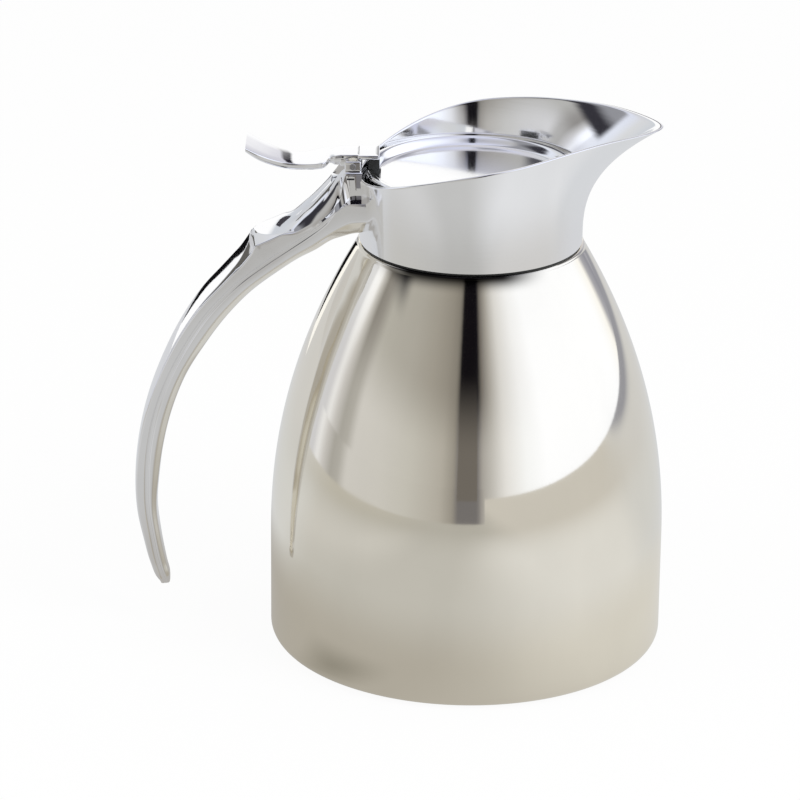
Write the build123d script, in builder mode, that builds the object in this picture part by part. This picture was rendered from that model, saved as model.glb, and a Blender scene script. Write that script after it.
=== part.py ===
"""Thermal carafe with a flip lid: a bell-shaped double-walled steel flask, a steel pouring
collar, a two-piece cast handle and a lid that a thumb lever swings on one hinge pin.

Frame: millimetres, +Z up, +X towards the spout, the handle on -X, the body's axis on Z and
the table at z = 0. Everything is symmetrical about the XZ plane."""

from build123d import *
from math import cos, hypot, pi, radians, sin, sqrt
import os

# ---- body ---------------------------------------------------------------------------------
BELLY_RADIUS = 56.2        # outside radius of the straight lower part
BELLY_TOP = 32.0           # height where the bell starts to draw in
SHOULDER_LEDGE = 0.2       # the shoulder stands out under the collar by this much
SHOULDER_Z = 119.5         # height of the flat shoulder that carries the collar
BELL_POWER = 2.1           # how late the bell draws in
SHELL_WALL = 0.6
FLASK_WALL = 0.5
VACUUM_GAP = 5.0           # between the two steel walls
ROLLED_FOOT = 3.6          # radius of the rolled bottom corner
FOOT_LIFT = 0.4            # the steel corner stands this far off the table
NECK_GAP = 1.9             # between the two steel walls in the neck
NECK_HEIGHT = 10.9         # from the shoulder to the shell's top edge
FLOOR_Z = 9.0              # inside floor of the flask
FLOOR_CORNER = 9.0         # inside corner radius of the flask's floor

# ---- pieces in the base and in the vacuum space --------------------------------------------
FOOT_LIP = 1.2             # flat steel lip inside the rolled corner
SHOULDER_ROUND = 0.8       # rounding between bell and shoulder
FLASK_SHOULDER = 11.0      # the flask leaves the bell's line this far below the shoulder
BASE_WALL = 0.7            # plate that closes the vacuum space
BASE_STEP = 0.3            # plate over the top of the rolled corner
DIMPLE_RADIUS = 5.0
DIMPLE_DEPTH = 1.0
SEAL_HOLE_RADIUS = 1.1
GETTER_RADIUS = 5.0
GETTER_HEIGHT = 1.8
GETTER_OFFSET = 20.0       # off the axis, clear of the dimple
SHIELD_WALL = 0.2
SHIELD_BOTTOM = 22.0
SHIELD_TOP = 96.0
COVER_WALL = 1.6           # plastic cover under the base
COVER_RIM = 2.0
COVER_CLEARANCE = 0.2      # cover to the steel lip
PAD_RADIUS = 44.0          # rubber pad that the carafe stands on
PAD_HEIGHT = 1.3
PAD_RECESS = 0.8           # depth of its recess in the cover
PAD_BEVEL = 0.4

# ---- collar -------------------------------------------------------------------------------
COLLAR_RADIUS = 31.3       # outside of its lower edge
COLLAR_WALL = 1.0
COLLAR_GAP = 0.7           # shadow gap between shoulder and collar
FLARE_HEIGHT = 30.0        # height over the lower edge that the flare is measured at
COLLAR_FLARE = 2.1         # gain in radius over that height
SIDE_FLARE = 1.9           # further gain over that height at the collar's two sides
SPOUT_REACH = 17.35        # how far the spout leaves the round collar at its tip
SPOUT_START = 2.0          # height over the lower edge where the spout begins
SPOUT_HEIGHT = 32.0        # height over the lower edge of the spout's tip
SPOUT_HALF_ANGLE = 74.0    # degrees either side of the spout's middle
RIM_HEIGHT = 29.2          # the rim at mid-length, over the lower edge
RIM_POINTS = [             # side view of the rim: x, and height over the rim at mid-length
    (-32.5, -10.9), (-27.0, -8.6), (-11.7, -3.0), (0.0, 0.0),
    (12.8, 2.0), (25.0, 3.7), (38.0, 4.7), (53.0, 4.1),
]

# ---- collar insert and seals ---------------------------------------------------------------
INSERT_CLEARANCE = 0.15    # to the collar outside and to the neck inside
INSERT_WALL = 1.25         # plastic left between the neck and the screw plate's pocket
INSERT_FLANGE = 0.45       # radius by which its bottom flange stays behind the collar's edge
NECK_SEAL = 1.0            # thickness of the ring on the flask's lip
NECK_SEAL_WIDTH = 2.2
SEAT_WALL = 1.4            # plastic between the neck seal and the lid's seat
SEAT_WIDTH = 3.2           # flat seat for the lid's gasket
FUNNEL_HEIGHT = 3.5        # from the seat to the insert's top edge
FUNNEL_INSET = 0.3         # insert's top edge inside the collar, at the rear

# ---- lid ----------------------------------------------------------------------------------
LID_GAP = 0.65             # lid to the inside of the collar's lower edge, level
LID_HEIGHT = 20.8          # lid's rim over the collar's lower edge
LID_CAP_WALL = 0.8
LID_SKIRT = 3.4            # skirt and raised rim
LID_DISH_DEPTH = 2.3       # the flat middle lies this far below the rim
LID_RIM_WIDTH = 1.5        # top of the raised rim
LID_RIM_ROUND = 0.65
LID_SLOPE = 2.2            # run of the slope inside the raised rim
GASKET_HEIGHT = 1.2
GASKET_WIDTH = 2.4
GASKET_INSET = 0.4         # from the mouth's edge
PLUG_DEPTH = 7.6           # how far the plug reaches below the gasket's upper face
PLUG_CLEARANCE = 2.3       # plug to mouth, level: the plug swings out on an arc
PLUG_TAPER = 2.0
PLUG_FLOOR = 1.2
PLUG_EDGE_GAP = 0.8        # plug's slanted edge to the funnel, level
PLUG_SIDE = 3.7            # plug's wall around the foam, at its lower end
BRACKET_WALL = 1.2
BRACKET_HALF_WIDTH = 3.4
BRACKET_OVERHANG = 0.4     # its level leg ends this far outside the foam
BRACKET_COVER = 0.4        # lever's metal over its upright leg
BRACKET_MARGIN = 0.4       # steel between its end and the screw heads
LID_SCREW_RADIUS = 0.9
LID_SCREW_HEAD = 1.5
LID_SCREW_HEAD_HEIGHT = 0.9
LID_SCREW_LENGTH = 5.0
LID_SCREW_SPACING = 4.0

# ---- hinge --------------------------------------------------------------------------------
PIN_SETBACK = 1.8          # pin axis behind the collar's lower edge radius
PIN_HEIGHT = 22.4          # pin axis above the collar's lower edge
PIN_RADIUS = 0.9
PIN_FIT = 0.05             # pin to bush
PIN_PROUD = 0.25
PIN_BEVEL = 0.2
BUSH_WALL = 0.5
BUSH_LENGTH = 3.4
BUSH_FLANGE = 0.2
BUSH_FLANGE_WIDTH = 0.55   # flange's gain in radius over the bush
HUB_RADIUS = 2.3           # lever's hub around the pin
HUB_HALF_WIDTH = 4.3
EAR_GAP = 0.1              # bush flange to ear
EAR_WALL = 1.9
EAR_TOP = 1.5              # ear over the pin axis
EAR_BEHIND = 2.3           # ear behind the pin axis, and in front of it
EAR_FRONT = 2.3
EAR_ROUND = 0.5
EAR_LEDGE = 1.0            # the ears stand on the post this far below the pin axis
LID_OPENING = 35.0         # degrees
HINGE_CLEARANCE = 0.45     # around the hub, and under the lever when the lid is open
RISER_HALF_WIDTH = 4.0     # black upstand of the lid behind the cap
RISER_LENGTH = 3.1
CAP_NOTCH_GAP = 0.4        # cap to riser
TONGUE_WALL = 1.4          # lever's tongue over the riser
TONGUE_TOP = 2.8           # its top above the pin axis
TONGUE_HALF_WIDTH = 4.9

# ---- thumb lever: (behind the pin, underside above pin, top above pin, half width) ---------
LEVER_STATIONS = [
    (29.8, 4.1, 5.5, 7.6),
    (26.5, 1.8, 3.8, 7.3),
    (22.7, 0.0, 2.1, 6.5),
    (18.1, -1.3, 0.8, 5.8),
    (13.5, -1.4, 0.5, 6.0),
    (9.7, -0.9, 1.0, 7.0),
    (7.6, -0.5, 1.5, 7.3),
]
LEVER_BEVEL = 0.9          # bevel along the lever's lower edges
LEVER_SIDE = 0.45          # share of the lever's thickness that the bevel takes
LEVER_OVERLAP = 0.5        # the neck reaches this far into the blade
NECK_KNEE = 3.3            # the neck is level with the tongue from here, behind the pin

# ---- handle: (behind, below) the pin axis along the seam between its two castings, then
# ---- the strap's thickness, the arm's thickness and the half width there -------------------
HANDLE_STATIONS = [
    (54.1, 128.0, 1.9, 1.8, 2.6),
    (55.6, 122.4, 2.4, 2.3, 3.4),
    (57.2, 113.4, 2.8, 2.5, 4.4),
    (58.3, 104.4, 3.2, 2.7, 5.4),
    (58.4, 94.4, 3.5, 3.2, 6.3),
    (57.5, 83.9, 3.7, 3.6, 7.1),
    (55.1, 72.4, 3.9, 4.0, 7.9),
    (51.2, 61.6, 3.9, 4.2, 8.5),
    (45.9, 51.4, 3.9, 4.3, 8.9),
    (39.1, 41.4, 3.9, 4.6, 9.2),
    (31.2, 33.2, 3.9, 4.7, 9.3),
    (22.9, 26.6, 5.5, 4.7, 9.4),
    (15.4, 21.4, 3.9, 4.9, 9.8),
    (8.9, 16.2, 3.8, 5.4, 10.6),
]
SEAM_GROOVE = 0.4          # depth of the groove along the seam, and half its width
STRAP_FACE = 0.93          # width of the strap's outer face over its full width
ARM_FACE = 0.66            # width of the arm's inner face over its full width
ARM_CREASE = 0.55          # the arm's sides turn inwards at this share of its thickness
SEAM_OVERLAP = 1.0         # both blanks reach this far over the seam before fitting
ARM_KNEE = (3.1, 11.5, 8.2, 11.2)   # last bend of the arm: behind, below, thickness, half width
ARM_ROOT_TOP = 9.2         # arm's top at the collar, below the pin axis
ARM_ROOT_BOTTOM = 19.2     # arm's underside at the collar, below the pin axis
ARM_ROOT_HALF_WIDTH = 11.5
ROOT_SINK = 3.0            # castings' blanks reach this far into the collar before fitting
STRAP_TOP = [              # the strap's own last stations, inside the post
    (4.4, 13.1, 5.4, 0.0, 9.2),
    (0.9, 9.3, 5.6, 0.0, 7.7),
]
POST_HALF_WIDTH = 7.7
POST_FOOT = (6.9, 7.8)     # behind and below the pin: the scoop's upper end
POST_WAIST = (4.6, 4.9)
POST_REAR = 2.8            # top of the post behind the pin axis, and in front of it
POST_FRONT = 2.5
POST_SINK = 2.0            # the post's blank reaches this far into the arm before fitting
POST_BAND = 4.9            # post meets the collar from this far below the pin axis
POST_SLOT_LENGTH = 2.1     # small slot in each side of the post
POST_SLOT_HEIGHT = 0.7
POST_SLOT_DEPTH = 0.8
POST_SLOT_BEHIND = 0.6     # its middle, behind and below the pin axis
POST_SLOT_BELOW = 3.1
DOWEL_RADIUS = 1.2
DOWEL_LENGTH = 4.0
DOWEL_STATIONS = (4, 10)   # handle stations that carry a dowel
SCREW_RADIUS = 1.25        # screws of the handle
SCREW_HEAD_RADIUS = 1.9
SCREW_HEAD_HEIGHT = 0.8
SCREW_LENGTH = 6.8
SCREW_SPREAD = 5.0         # handle screws either side of the middle
SCREW_BELOW = 12.8         # handle screws below the pin axis
STRAP_SCREW_BEHIND = 1.2   # screw that draws the post onto the arm: behind the pin axis
STRAP_SCREW_TOP = 6.3      # its end and the seat of its head, below the pin axis
STRAP_SCREW_SEAT = 15.4
PLATE_WALL = 1.5           # plate under the screw heads
PLATE_HALF_WIDTH = 8.4
PLATE_HALF_HEIGHT = 2.7
PLATE_CLEARANCE = 0.4

# ---- places worked out from the sizes above -------------------------------------------------
SHOULDER_RADIUS = COLLAR_RADIUS + SHOULDER_LEDGE
PLATE_INSIDE = COLLAR_RADIUS - COLLAR_WALL - PLATE_WALL
NECK_RADIUS = PLATE_INSIDE - PLATE_CLEARANCE - INSERT_WALL - INSERT_CLEARANCE
MOUTH_RADIUS = NECK_RADIUS - SHELL_WALL - NECK_GAP - FLASK_WALL
NECK_TOP = SHOULDER_Z + NECK_HEIGHT
LIP_TOP = NECK_TOP + FLASK_WALL
COLLAR_Z = SHOULDER_Z + COLLAR_GAP
SEAT_UNDER = LIP_TOP + NECK_SEAL
SEAT_Z = SEAT_UNDER + SEAT_WALL
FUNNEL_TOP = SEAT_Z + FUNNEL_HEIGHT
RIM_MID_Z = COLLAR_Z + RIM_HEIGHT
PIN_X = -(COLLAR_RADIUS + PIN_SETBACK)
PIN_Z = COLLAR_Z + PIN_HEIGHT
EAR_INNER = HUB_HALF_WIDTH + BUSH_FLANGE + EAR_GAP
EAR_OUTER = EAR_INNER + EAR_WALL
BASE_PLATE_Z = FOOT_LIFT + ROLLED_FOOT + BASE_STEP
FOOT_OPENING = BELLY_RADIUS - ROLLED_FOOT - FOOT_LIP
SEAT_EDGE = MOUTH_RADIUS + SEAT_WIDTH
FUNNEL_EDGE = COLLAR_RADIUS - COLLAR_WALL - FUNNEL_INSET
LID_TOP = COLLAR_Z + LID_HEIGHT
LID_RADIUS = COLLAR_RADIUS - COLLAR_WALL - LID_GAP
PLUG_TOP = LID_TOP - LID_DISH_DEPTH - LID_CAP_WALL
PLUG_FACE = SEAT_Z + GASKET_HEIGHT
PLUG_RADIUS = LID_RADIUS - LID_CAP_WALL
PLUG_NECK = MOUTH_RADIUS - PLUG_CLEARANCE
FOAM_RADIUS = PLUG_NECK - PLUG_TAPER - PLUG_SIDE
RISER_TOP = PIN_Z + TONGUE_TOP - TONGUE_WALL
RISER_FRONT = PLUG_RADIUS - RISER_LENGTH
BRACKET_END = FOAM_RADIUS + BRACKET_OVERHANG
BUSH_RADIUS = PIN_RADIUS + PIN_FIT + BUSH_WALL
BUSH_FLANGE_RADIUS = BUSH_RADIUS + BUSH_FLANGE_WIDTH
SCREW_Z = PIN_Z - SCREW_BELOW
SCREW_PLACES = [(-SCREW_SPREAD, SCREW_Z), (SCREW_SPREAD, SCREW_Z)]
ARM_ROOT_X = COLLAR_RADIUS - ROOT_SINK
STEP_ANGLES = [0, 4, 9, 15, 22, 30, 40, 52, 66, 82, 100, 120, 140, 160]
COLLAR_LEVELS = [0, 5, 10, 14, 18, 22, 26, 30, 34, 38]


# ---- helpers --------------------------------------------------------------------------------
def bell_radius(z):
    """Outside radius of the bell: straight, then drawn in by a power of the height."""
    rise = max(0.0, (z - BELLY_TOP) / (SHOULDER_Z - BELLY_TOP))
    return BELLY_RADIUS - (BELLY_RADIUS - SHOULDER_RADIUS) * rise ** BELL_POWER


def bell_points(inset, low, high, count=9):
    """Points of the bell from low to high, moved in level by inset."""
    heights = [low + (high - low) * k / (count - 1) for k in range(count)]
    return [(bell_radius(z) - inset, z) for z in heights]


def finish(body, name):
    """Label one finished piece and write its STEP file."""
    body.part.label = name
    export_step(body.part, f"parts/{name}.step")


def revolve_profile(points):
    """A ring turned about Z from a closed outline of (radius, height) points."""
    with BuildPart() as ring:
        with BuildSketch(Plane.XZ):
            with BuildLine():
                Polyline(*points, close=True)
            make_face()
        revolve(axis=Axis.Z)
    return ring


def collar_radius(angle, level, inset=0.0):
    """Level radius of the collar at an angle from the spout and a height above its edge."""
    def outside(h):
        climb = max(0.0, h / FLARE_HEIGHT) ** 2.5
        flare = climb * (COLLAR_FLARE + SIDE_FLARE * sin(radians(angle)) ** 2)
        rise = max(0.0, (h - SPOUT_START) / (SPOUT_HEIGHT - SPOUT_START))
        share = min(1.0, angle / SPOUT_HALF_ANGLE)
        nose = 0.08            # rounds the spout's beak
        away = (sqrt(share ** 2 + nose ** 2) - nose) / (sqrt(1 + nose ** 2) - nose)
        return COLLAR_RADIUS + flare + SPOUT_REACH * rise ** 2.68 * (1 - away) ** 2.9
    slope = (outside(level + 0.1) - outside(level - 0.1)) / 0.2
    return outside(level) - inset * sqrt(1 + slope ** 2)


def collar_solid(inset):
    """The collar's outside, moved in by a wall, as one solid from level sections."""
    with BuildPart() as solid:
        for level in COLLAR_LEVELS:
            with BuildSketch(Plane.XY.offset(COLLAR_Z + level)):
                with BuildLine():
                    angles = STEP_ANGLES + [180] + [360 - a for a in reversed(STEP_ANGLES[1:])]
                    radii = [collar_radius(min(a, 360 - a), level, inset) for a in angles]
                    ring = [(r * cos(radians(a)), r * sin(radians(a)))
                            for r, a in zip(radii, angles)]
                    Spline(*ring, periodic=True)
                make_face()
        loft()
    return solid


# ---- flask ----------------------------------------------------------------------------------
def shell_blank(inset):
    """The shell's outline, moved in by inset, turned into one solid."""
    roll = ROLLED_FOOT - inset
    low = FOOT_LIFT + inset
    edge = SHOULDER_RADIUS - inset
    soft = SHOULDER_ROUND - inset * 0.5
    with BuildPart() as blank:
        with BuildSketch(Plane.XZ):
            with BuildLine():
                foot = Line((0, low), (BELLY_RADIUS - ROLLED_FOOT, low))
                corner = TangentArc(foot @ 1, (BELLY_RADIUS - inset, low + roll), tangent=(1, 0))
                wall = Line(corner @ 1, (BELLY_RADIUS - inset, BELLY_TOP))
                bell = Spline(*bell_points(inset, BELLY_TOP, SHOULDER_Z - soft))
                shoulder = Line((edge - soft, SHOULDER_Z - inset),
                                (NECK_RADIUS - inset, SHOULDER_Z - inset))
                Line(bell @ 1, shoulder @ 0)
                neck = Line(shoulder @ 1, (NECK_RADIUS - inset, NECK_TOP))
                Polyline(neck @ 1, (0, NECK_TOP), (0, low))
            make_face()
        revolve(axis=Axis.Z)
    return blank


def flask_blank(inset):
    """The inner flask's outline, moved in by inset, turned into one solid."""
    side = SHELL_WALL + VACUUM_GAP + inset
    low = FLOOR_Z - FLASK_WALL + inset
    round_low = FLOOR_CORNER + FLASK_WALL - inset
    neck_radius = MOUTH_RADIUS + FLASK_WALL - inset
    with BuildPart() as blank:
        with BuildSketch(Plane.XZ):
            with BuildLine():
                wall_radius = BELLY_RADIUS - side
                floor = Line((0, low), (wall_radius - round_low, low))
                corner = TangentArc(floor @ 1, (wall_radius, low + round_low), tangent=(1, 0))
                wall = Line(corner @ 1, (wall_radius, BELLY_TOP))
                bell = bell_points(side, BELLY_TOP, SHOULDER_Z - FLASK_SHOULDER)
                sweep_in = Spline(*bell, (neck_radius, SHOULDER_Z),
                                  tangents=((0, 1), (0, 1)))
                neck = Line(sweep_in @ 1, (neck_radius, LIP_TOP))
                Polyline(neck @ 1, (0, LIP_TOP), (0, low))
            make_face()
        revolve(axis=Axis.Z)
    return blank


def make_outer_shell():
    """Bell-shaped outer wall with a rolled foot, a flat shoulder and a neck."""
    with BuildPart() as shell:
        add(shell_blank(0.0).part)
        add(shell_blank(SHELL_WALL).part, mode=Mode.SUBTRACT)
        with BuildSketch(Plane.XY):
            Circle(FOOT_OPENING)
        extrude(amount=FOOT_LIFT + ROLLED_FOOT, mode=Mode.SUBTRACT)
        with BuildSketch(Plane.XY.offset(SHOULDER_Z - ROLLED_FOOT)):
            Circle(NECK_RADIUS - SHELL_WALL)
        extrude(amount=NECK_HEIGHT + ROLLED_FOOT, mode=Mode.SUBTRACT)
    finish(shell, "outer_shell")


def make_inner_flask():
    """Inner bottle with a lip that reaches out over the shell's top edge."""
    with BuildPart() as flask:
        add(flask_blank(0.0).part)
        with BuildSketch(Plane.XY.offset(NECK_TOP)):
            Circle(NECK_RADIUS)
        extrude(amount=FLASK_WALL)
        add(flask_blank(FLASK_WALL).part, mode=Mode.SUBTRACT)
    finish(flask, "inner_flask")


def make_radiation_shield():
    """Foil wrapped on the flask's straight and bell-shaped wall."""
    inset = SHELL_WALL + VACUUM_GAP - SHIELD_WALL
    with BuildPart() as shield:
        with BuildSketch(Plane.XZ):
            with BuildLine():
                outside = bell_points(inset, BELLY_TOP, SHIELD_TOP)
                Spline(*outside)
                Polyline(outside[0], (BELLY_RADIUS - inset, SHIELD_BOTTOM), (0, SHIELD_BOTTOM),
                         (0, SHIELD_TOP), outside[-1])
            make_face()
        revolve(axis=Axis.Z)
        add(flask_blank(0.0).part, mode=Mode.SUBTRACT)
    finish(shield, "radiation_shield")


def make_base_pieces():
    """Base plate, its vacuum seal, the getter, the plastic cover and the rubber pad."""
    with BuildPart() as plate:
        with BuildSketch(Plane.XY.offset(BASE_PLATE_Z)):
            Circle(BELLY_RADIUS - SHELL_WALL)
        extrude(amount=BASE_WALL)
        with BuildSketch(Plane.XY.offset(BASE_PLATE_Z)):
            Circle(DIMPLE_RADIUS + BASE_WALL)
        extrude(amount=DIMPLE_DEPTH + BASE_WALL)
        with BuildSketch(Plane.XY.offset(BASE_PLATE_Z)):
            Circle(DIMPLE_RADIUS)
        extrude(amount=DIMPLE_DEPTH, mode=Mode.SUBTRACT)
        with BuildSketch(Plane.XY.offset(BASE_PLATE_Z)):
            Circle(SEAL_HOLE_RADIUS)
        extrude(amount=DIMPLE_DEPTH + BASE_WALL, mode=Mode.SUBTRACT)
    finish(plate, "base_plate")

    with BuildPart() as seal:
        with BuildSketch(Plane.XY.offset(BASE_PLATE_Z)):
            Circle(DIMPLE_RADIUS)
        extrude(amount=DIMPLE_DEPTH)
        with BuildSketch(Plane.XY.offset(BASE_PLATE_Z)):
            Circle(SEAL_HOLE_RADIUS)
        extrude(amount=DIMPLE_DEPTH + BASE_WALL)
    finish(seal, "vacuum_seal")

    with BuildPart() as getter:
        with BuildSketch(Plane.XY.offset(FLOOR_Z - FLASK_WALL - GETTER_HEIGHT)):
            with Locations((GETTER_OFFSET, 0)):
                Circle(GETTER_RADIUS)
        extrude(amount=GETTER_HEIGHT)
    finish(getter, "getter")

    cover_bottom = PAD_HEIGHT - PAD_RECESS
    with BuildPart() as cover:
        with BuildSketch(Plane.XY.offset(cover_bottom)):
            Circle(FOOT_OPENING - COVER_CLEARANCE)
        extrude(amount=BASE_PLATE_Z - cover_bottom)
        with BuildSketch(Plane.XY.offset(cover_bottom + COVER_WALL)):
            Circle(FOOT_OPENING - COVER_CLEARANCE - COVER_RIM)
        extrude(amount=BASE_PLATE_Z, mode=Mode.SUBTRACT)
        with BuildSketch(Plane.XY.offset(cover_bottom)):
            Circle(PAD_RADIUS)
        extrude(amount=PAD_RECESS, mode=Mode.SUBTRACT)
    finish(cover, "base_cover")

    with BuildPart() as pad:
        with BuildSketch(Plane.XY):
            Circle(PAD_RADIUS)
        extrude(amount=PAD_HEIGHT)
        edges = pad.edges().group_by(Axis.Z)[0]
        chamfer(edges, PAD_BEVEL)
    finish(pad, "foot_pad")


# ---- collar ---------------------------------------------------------------------------------
def above_rim():
    """Everything over the collar's sweeping rim, as a solid to cut away."""
    points = [(x, RIM_MID_Z + rise) for x, rise in RIM_POINTS]
    sky = RIM_MID_Z + 2 * SPOUT_HEIGHT
    front = points[-1][0] + COLLAR_RADIUS
    rear = points[0][0] - COLLAR_RADIUS
    with BuildPart() as block:
        with BuildSketch(Plane.XZ):
            with BuildLine():
                Spline(*points)
                Polyline(points[-1], (front, points[-1][1]), (front, sky), (rear, sky),
                         (rear, points[0][1]), points[0])
            make_face()
        extrude(amount=2 * COLLAR_RADIUS, both=True)
    return block


def collar_envelope():
    """The collar's outside, filled, up to its rim."""
    with BuildPart() as envelope:
        add(collar_solid(0.0).part)
        add(above_rim().part, mode=Mode.SUBTRACT)
    return envelope


def make_collar(envelope):
    """Thin steel collar that flares into the spout, drilled for the handle's screws."""
    with BuildPart() as collar:
        add(envelope.part)
        add(collar_solid(COLLAR_WALL).part, mode=Mode.SUBTRACT)
        with BuildSketch(Plane.YZ):
            with Locations(*SCREW_PLACES):
                Circle(SCREW_RADIUS)
        extrude(amount=-2 * COLLAR_RADIUS, mode=Mode.SUBTRACT)
    finish(collar, "collar")


def make_collar_insert():
    """Black plastic ring between neck and collar, with the lid's seat and the funnel."""
    with BuildPart() as insert:
        add(collar_solid(COLLAR_WALL + INSERT_CLEARANCE).part)
        with BuildSketch(Plane.XY.offset(FUNNEL_TOP)):
            Rectangle(4 * COLLAR_RADIUS, 4 * COLLAR_RADIUS)
        extrude(amount=2 * FLARE_HEIGHT, mode=Mode.SUBTRACT)
        with BuildSketch(Plane.XY.offset(SHOULDER_Z)):
            Circle(COLLAR_RADIUS - INSERT_FLANGE)
        extrude(amount=COLLAR_GAP)
        inside = NECK_RADIUS + INSERT_CLEARANCE
        with BuildSketch(Plane.XZ):
            with BuildLine():
                Polyline((0, SHOULDER_Z), (inside, SHOULDER_Z), (inside, SEAT_UNDER),
                         (MOUTH_RADIUS, SEAT_UNDER), (MOUTH_RADIUS, SEAT_Z),
                         (SEAT_EDGE, SEAT_Z), (FUNNEL_EDGE, FUNNEL_TOP), (0, FUNNEL_TOP),
                         close=True)
            make_face()
        revolve(axis=Axis.Z, mode=Mode.SUBTRACT)
        add(plate_space(PLATE_CLEARANCE).part, mode=Mode.SUBTRACT)
    finish(insert, "collar_insert")

    neck_seal = revolve_profile([
        (NECK_RADIUS - NECK_SEAL_WIDTH, LIP_TOP), (NECK_RADIUS, LIP_TOP),
        (NECK_RADIUS, SEAT_UNDER), (NECK_RADIUS - NECK_SEAL_WIDTH, SEAT_UNDER)])
    finish(neck_seal, "neck_gasket")


def plate_space(gap):
    """Ring sector inside the collar's rear wall that holds the screw plate, plus a gap."""
    with BuildPart() as space:
        with BuildSketch(Plane.XY.offset(SCREW_Z - PLATE_HALF_HEIGHT - gap)):
            Circle(PLATE_INSIDE + PLATE_WALL + gap)
            Circle(PLATE_INSIDE - gap, mode=Mode.SUBTRACT)
            with Locations((-COLLAR_RADIUS, 0)):
                Rectangle(COLLAR_RADIUS, 2 * (PLATE_HALF_WIDTH + gap), mode=Mode.INTERSECT)
        extrude(amount=2 * (PLATE_HALF_HEIGHT + gap))
    return space


def make_handle_fixings():
    """Curved plate inside the collar and the two screws that pull the handle against it."""
    head_face = -sqrt(PLATE_INSIDE ** 2 - SCREW_SPREAD ** 2)
    with BuildPart() as screws:
        with BuildSketch(Plane.YZ.offset(head_face)):
            with Locations(*SCREW_PLACES):
                Circle(SCREW_HEAD_RADIUS)
        extrude(amount=-SCREW_HEAD_HEIGHT)
        with BuildSketch(Plane.YZ.offset(head_face - SCREW_HEAD_HEIGHT)):
            with Locations(*SCREW_PLACES):
                Circle(SCREW_RADIUS)
        extrude(amount=-(SCREW_LENGTH - SCREW_HEAD_HEIGHT))
    finish(screws, "handle_screws")

    with BuildPart() as plate:
        add(plate_space(0.0).part)
        add(screws.part, mode=Mode.SUBTRACT)
        with BuildSketch(Plane.YZ.offset(head_face)):
            with Locations(*SCREW_PLACES):
                Circle(SCREW_HEAD_RADIUS)
        extrude(amount=PLATE_WALL, mode=Mode.SUBTRACT)
    finish(plate, "screw_plate")
    return screws


# ---- handle ---------------------------------------------------------------------------------
def seam_frames(stations):
    """Planes across the handle: origin on the seam, local X outwards, local Y across."""
    places = [(PIN_X - behind, PIN_Z - below) for behind, below in stations]
    frames = []
    for k, (x, z) in enumerate(places):
        ahead = places[min(k + 1, len(places) - 1)]
        back = places[max(k - 1, 0)]
        run = (ahead[0] - back[0], ahead[1] - back[1])
        length = hypot(*run)
        along = (run[0] / length, 0, run[1] / length)
        frames.append(Plane(origin=(x, 0, z), x_dir=(-along[2], 0, along[0]), z_dir=along))
    return frames


def arm_section(thick, half):
    """Arm's section: the seam at local X = 0 with half a groove, and a narrower inner face."""
    inner = half - SEAM_GROOVE
    crease = ARM_CREASE * thick
    return [(SEAM_OVERLAP, inner), (-SEAM_GROOVE, inner), (-2 * SEAM_GROOVE, half),
            (-crease, half), (-thick, ARM_FACE * half), (-thick, -ARM_FACE * half),
            (-crease, -half), (-2 * SEAM_GROOVE, -half),
            (-SEAM_GROOVE, -inner), (SEAM_OVERLAP, -inner)]


def strap_section(thick, half):
    """Strap's section: the seam at local X = 0 with half a groove, and a crisp outer face."""
    inner = half - SEAM_GROOVE
    return [(-SEAM_OVERLAP, inner), (SEAM_GROOVE, inner), (2 * SEAM_GROOVE, half),
            (thick, STRAP_FACE * half), (thick, -STRAP_FACE * half), (2 * SEAM_GROOVE, -half),
            (SEAM_GROOVE, -inner), (-SEAM_OVERLAP, -inner)]


def seam_side():
    """Everything on the arm's side of the seam between the two castings."""
    places = [(PIN_X - behind, PIN_Z - below) for behind, below, *_ in HANDLE_STATIONS]
    places.append((PIN_X - ARM_KNEE[0], PIN_Z - ARM_KNEE[1]))
    places.append((-ARM_ROOT_X, PIN_Z - ARM_ROOT_TOP))
    (x0, z0), (x1, z1) = places[:2]
    places.insert(0, (2 * x0 - x1, 2 * z0 - z1))
    with BuildPart() as side:
        with BuildSketch(Plane.XZ):
            with BuildLine():
                seam = Spline(*places)
                Polyline(seam @ 1, (-ARM_ROOT_X, 0), (places[0][0], 0), seam @ 0)
            make_face()
        extrude(amount=2 * ARM_ROOT_HALF_WIDTH, both=True)
    return side


def loft_sections(frames, outlines):
    """Loft through closed straight-sided outlines on a row of planes."""
    with BuildPart() as body:
        for frame, outline in zip(frames, outlines):
            with BuildSketch(frame):
                with BuildLine():
                    Polyline(*outline, close=True)
                make_face()
        loft()
    return body


def arm_blank():
    """The arm before it is fitted to the collar: handle stations, a knee and the root."""
    stations = [s[:2] for s in HANDLE_STATIONS] + [ARM_KNEE[:2]]
    sizes = [(s[3], s[4]) for s in HANDLE_STATIONS] + [ARM_KNEE[2:]]
    frames = seam_frames(stations + [(PIN_X + ARM_ROOT_X, ARM_ROOT_TOP)])[:-1]
    root = Plane(origin=(-ARM_ROOT_X, 0, PIN_Z - ARM_ROOT_TOP), x_dir=(0, 0, 1), z_dir=(1, 0, 0))
    frames.append(root)
    sizes.append((ARM_ROOT_BOTTOM - ARM_ROOT_TOP, ARM_ROOT_HALF_WIDTH))
    return loft_sections(frames, [arm_section(*size) for size in sizes])


def strap_blank():
    """The strap's swept part, from the handle's tip to the post."""
    stations = HANDLE_STATIONS + STRAP_TOP
    frames = seam_frames([s[:2] for s in stations])
    return loft_sections(frames, [strap_section(s[2], s[4]) for s in stations])


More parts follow.
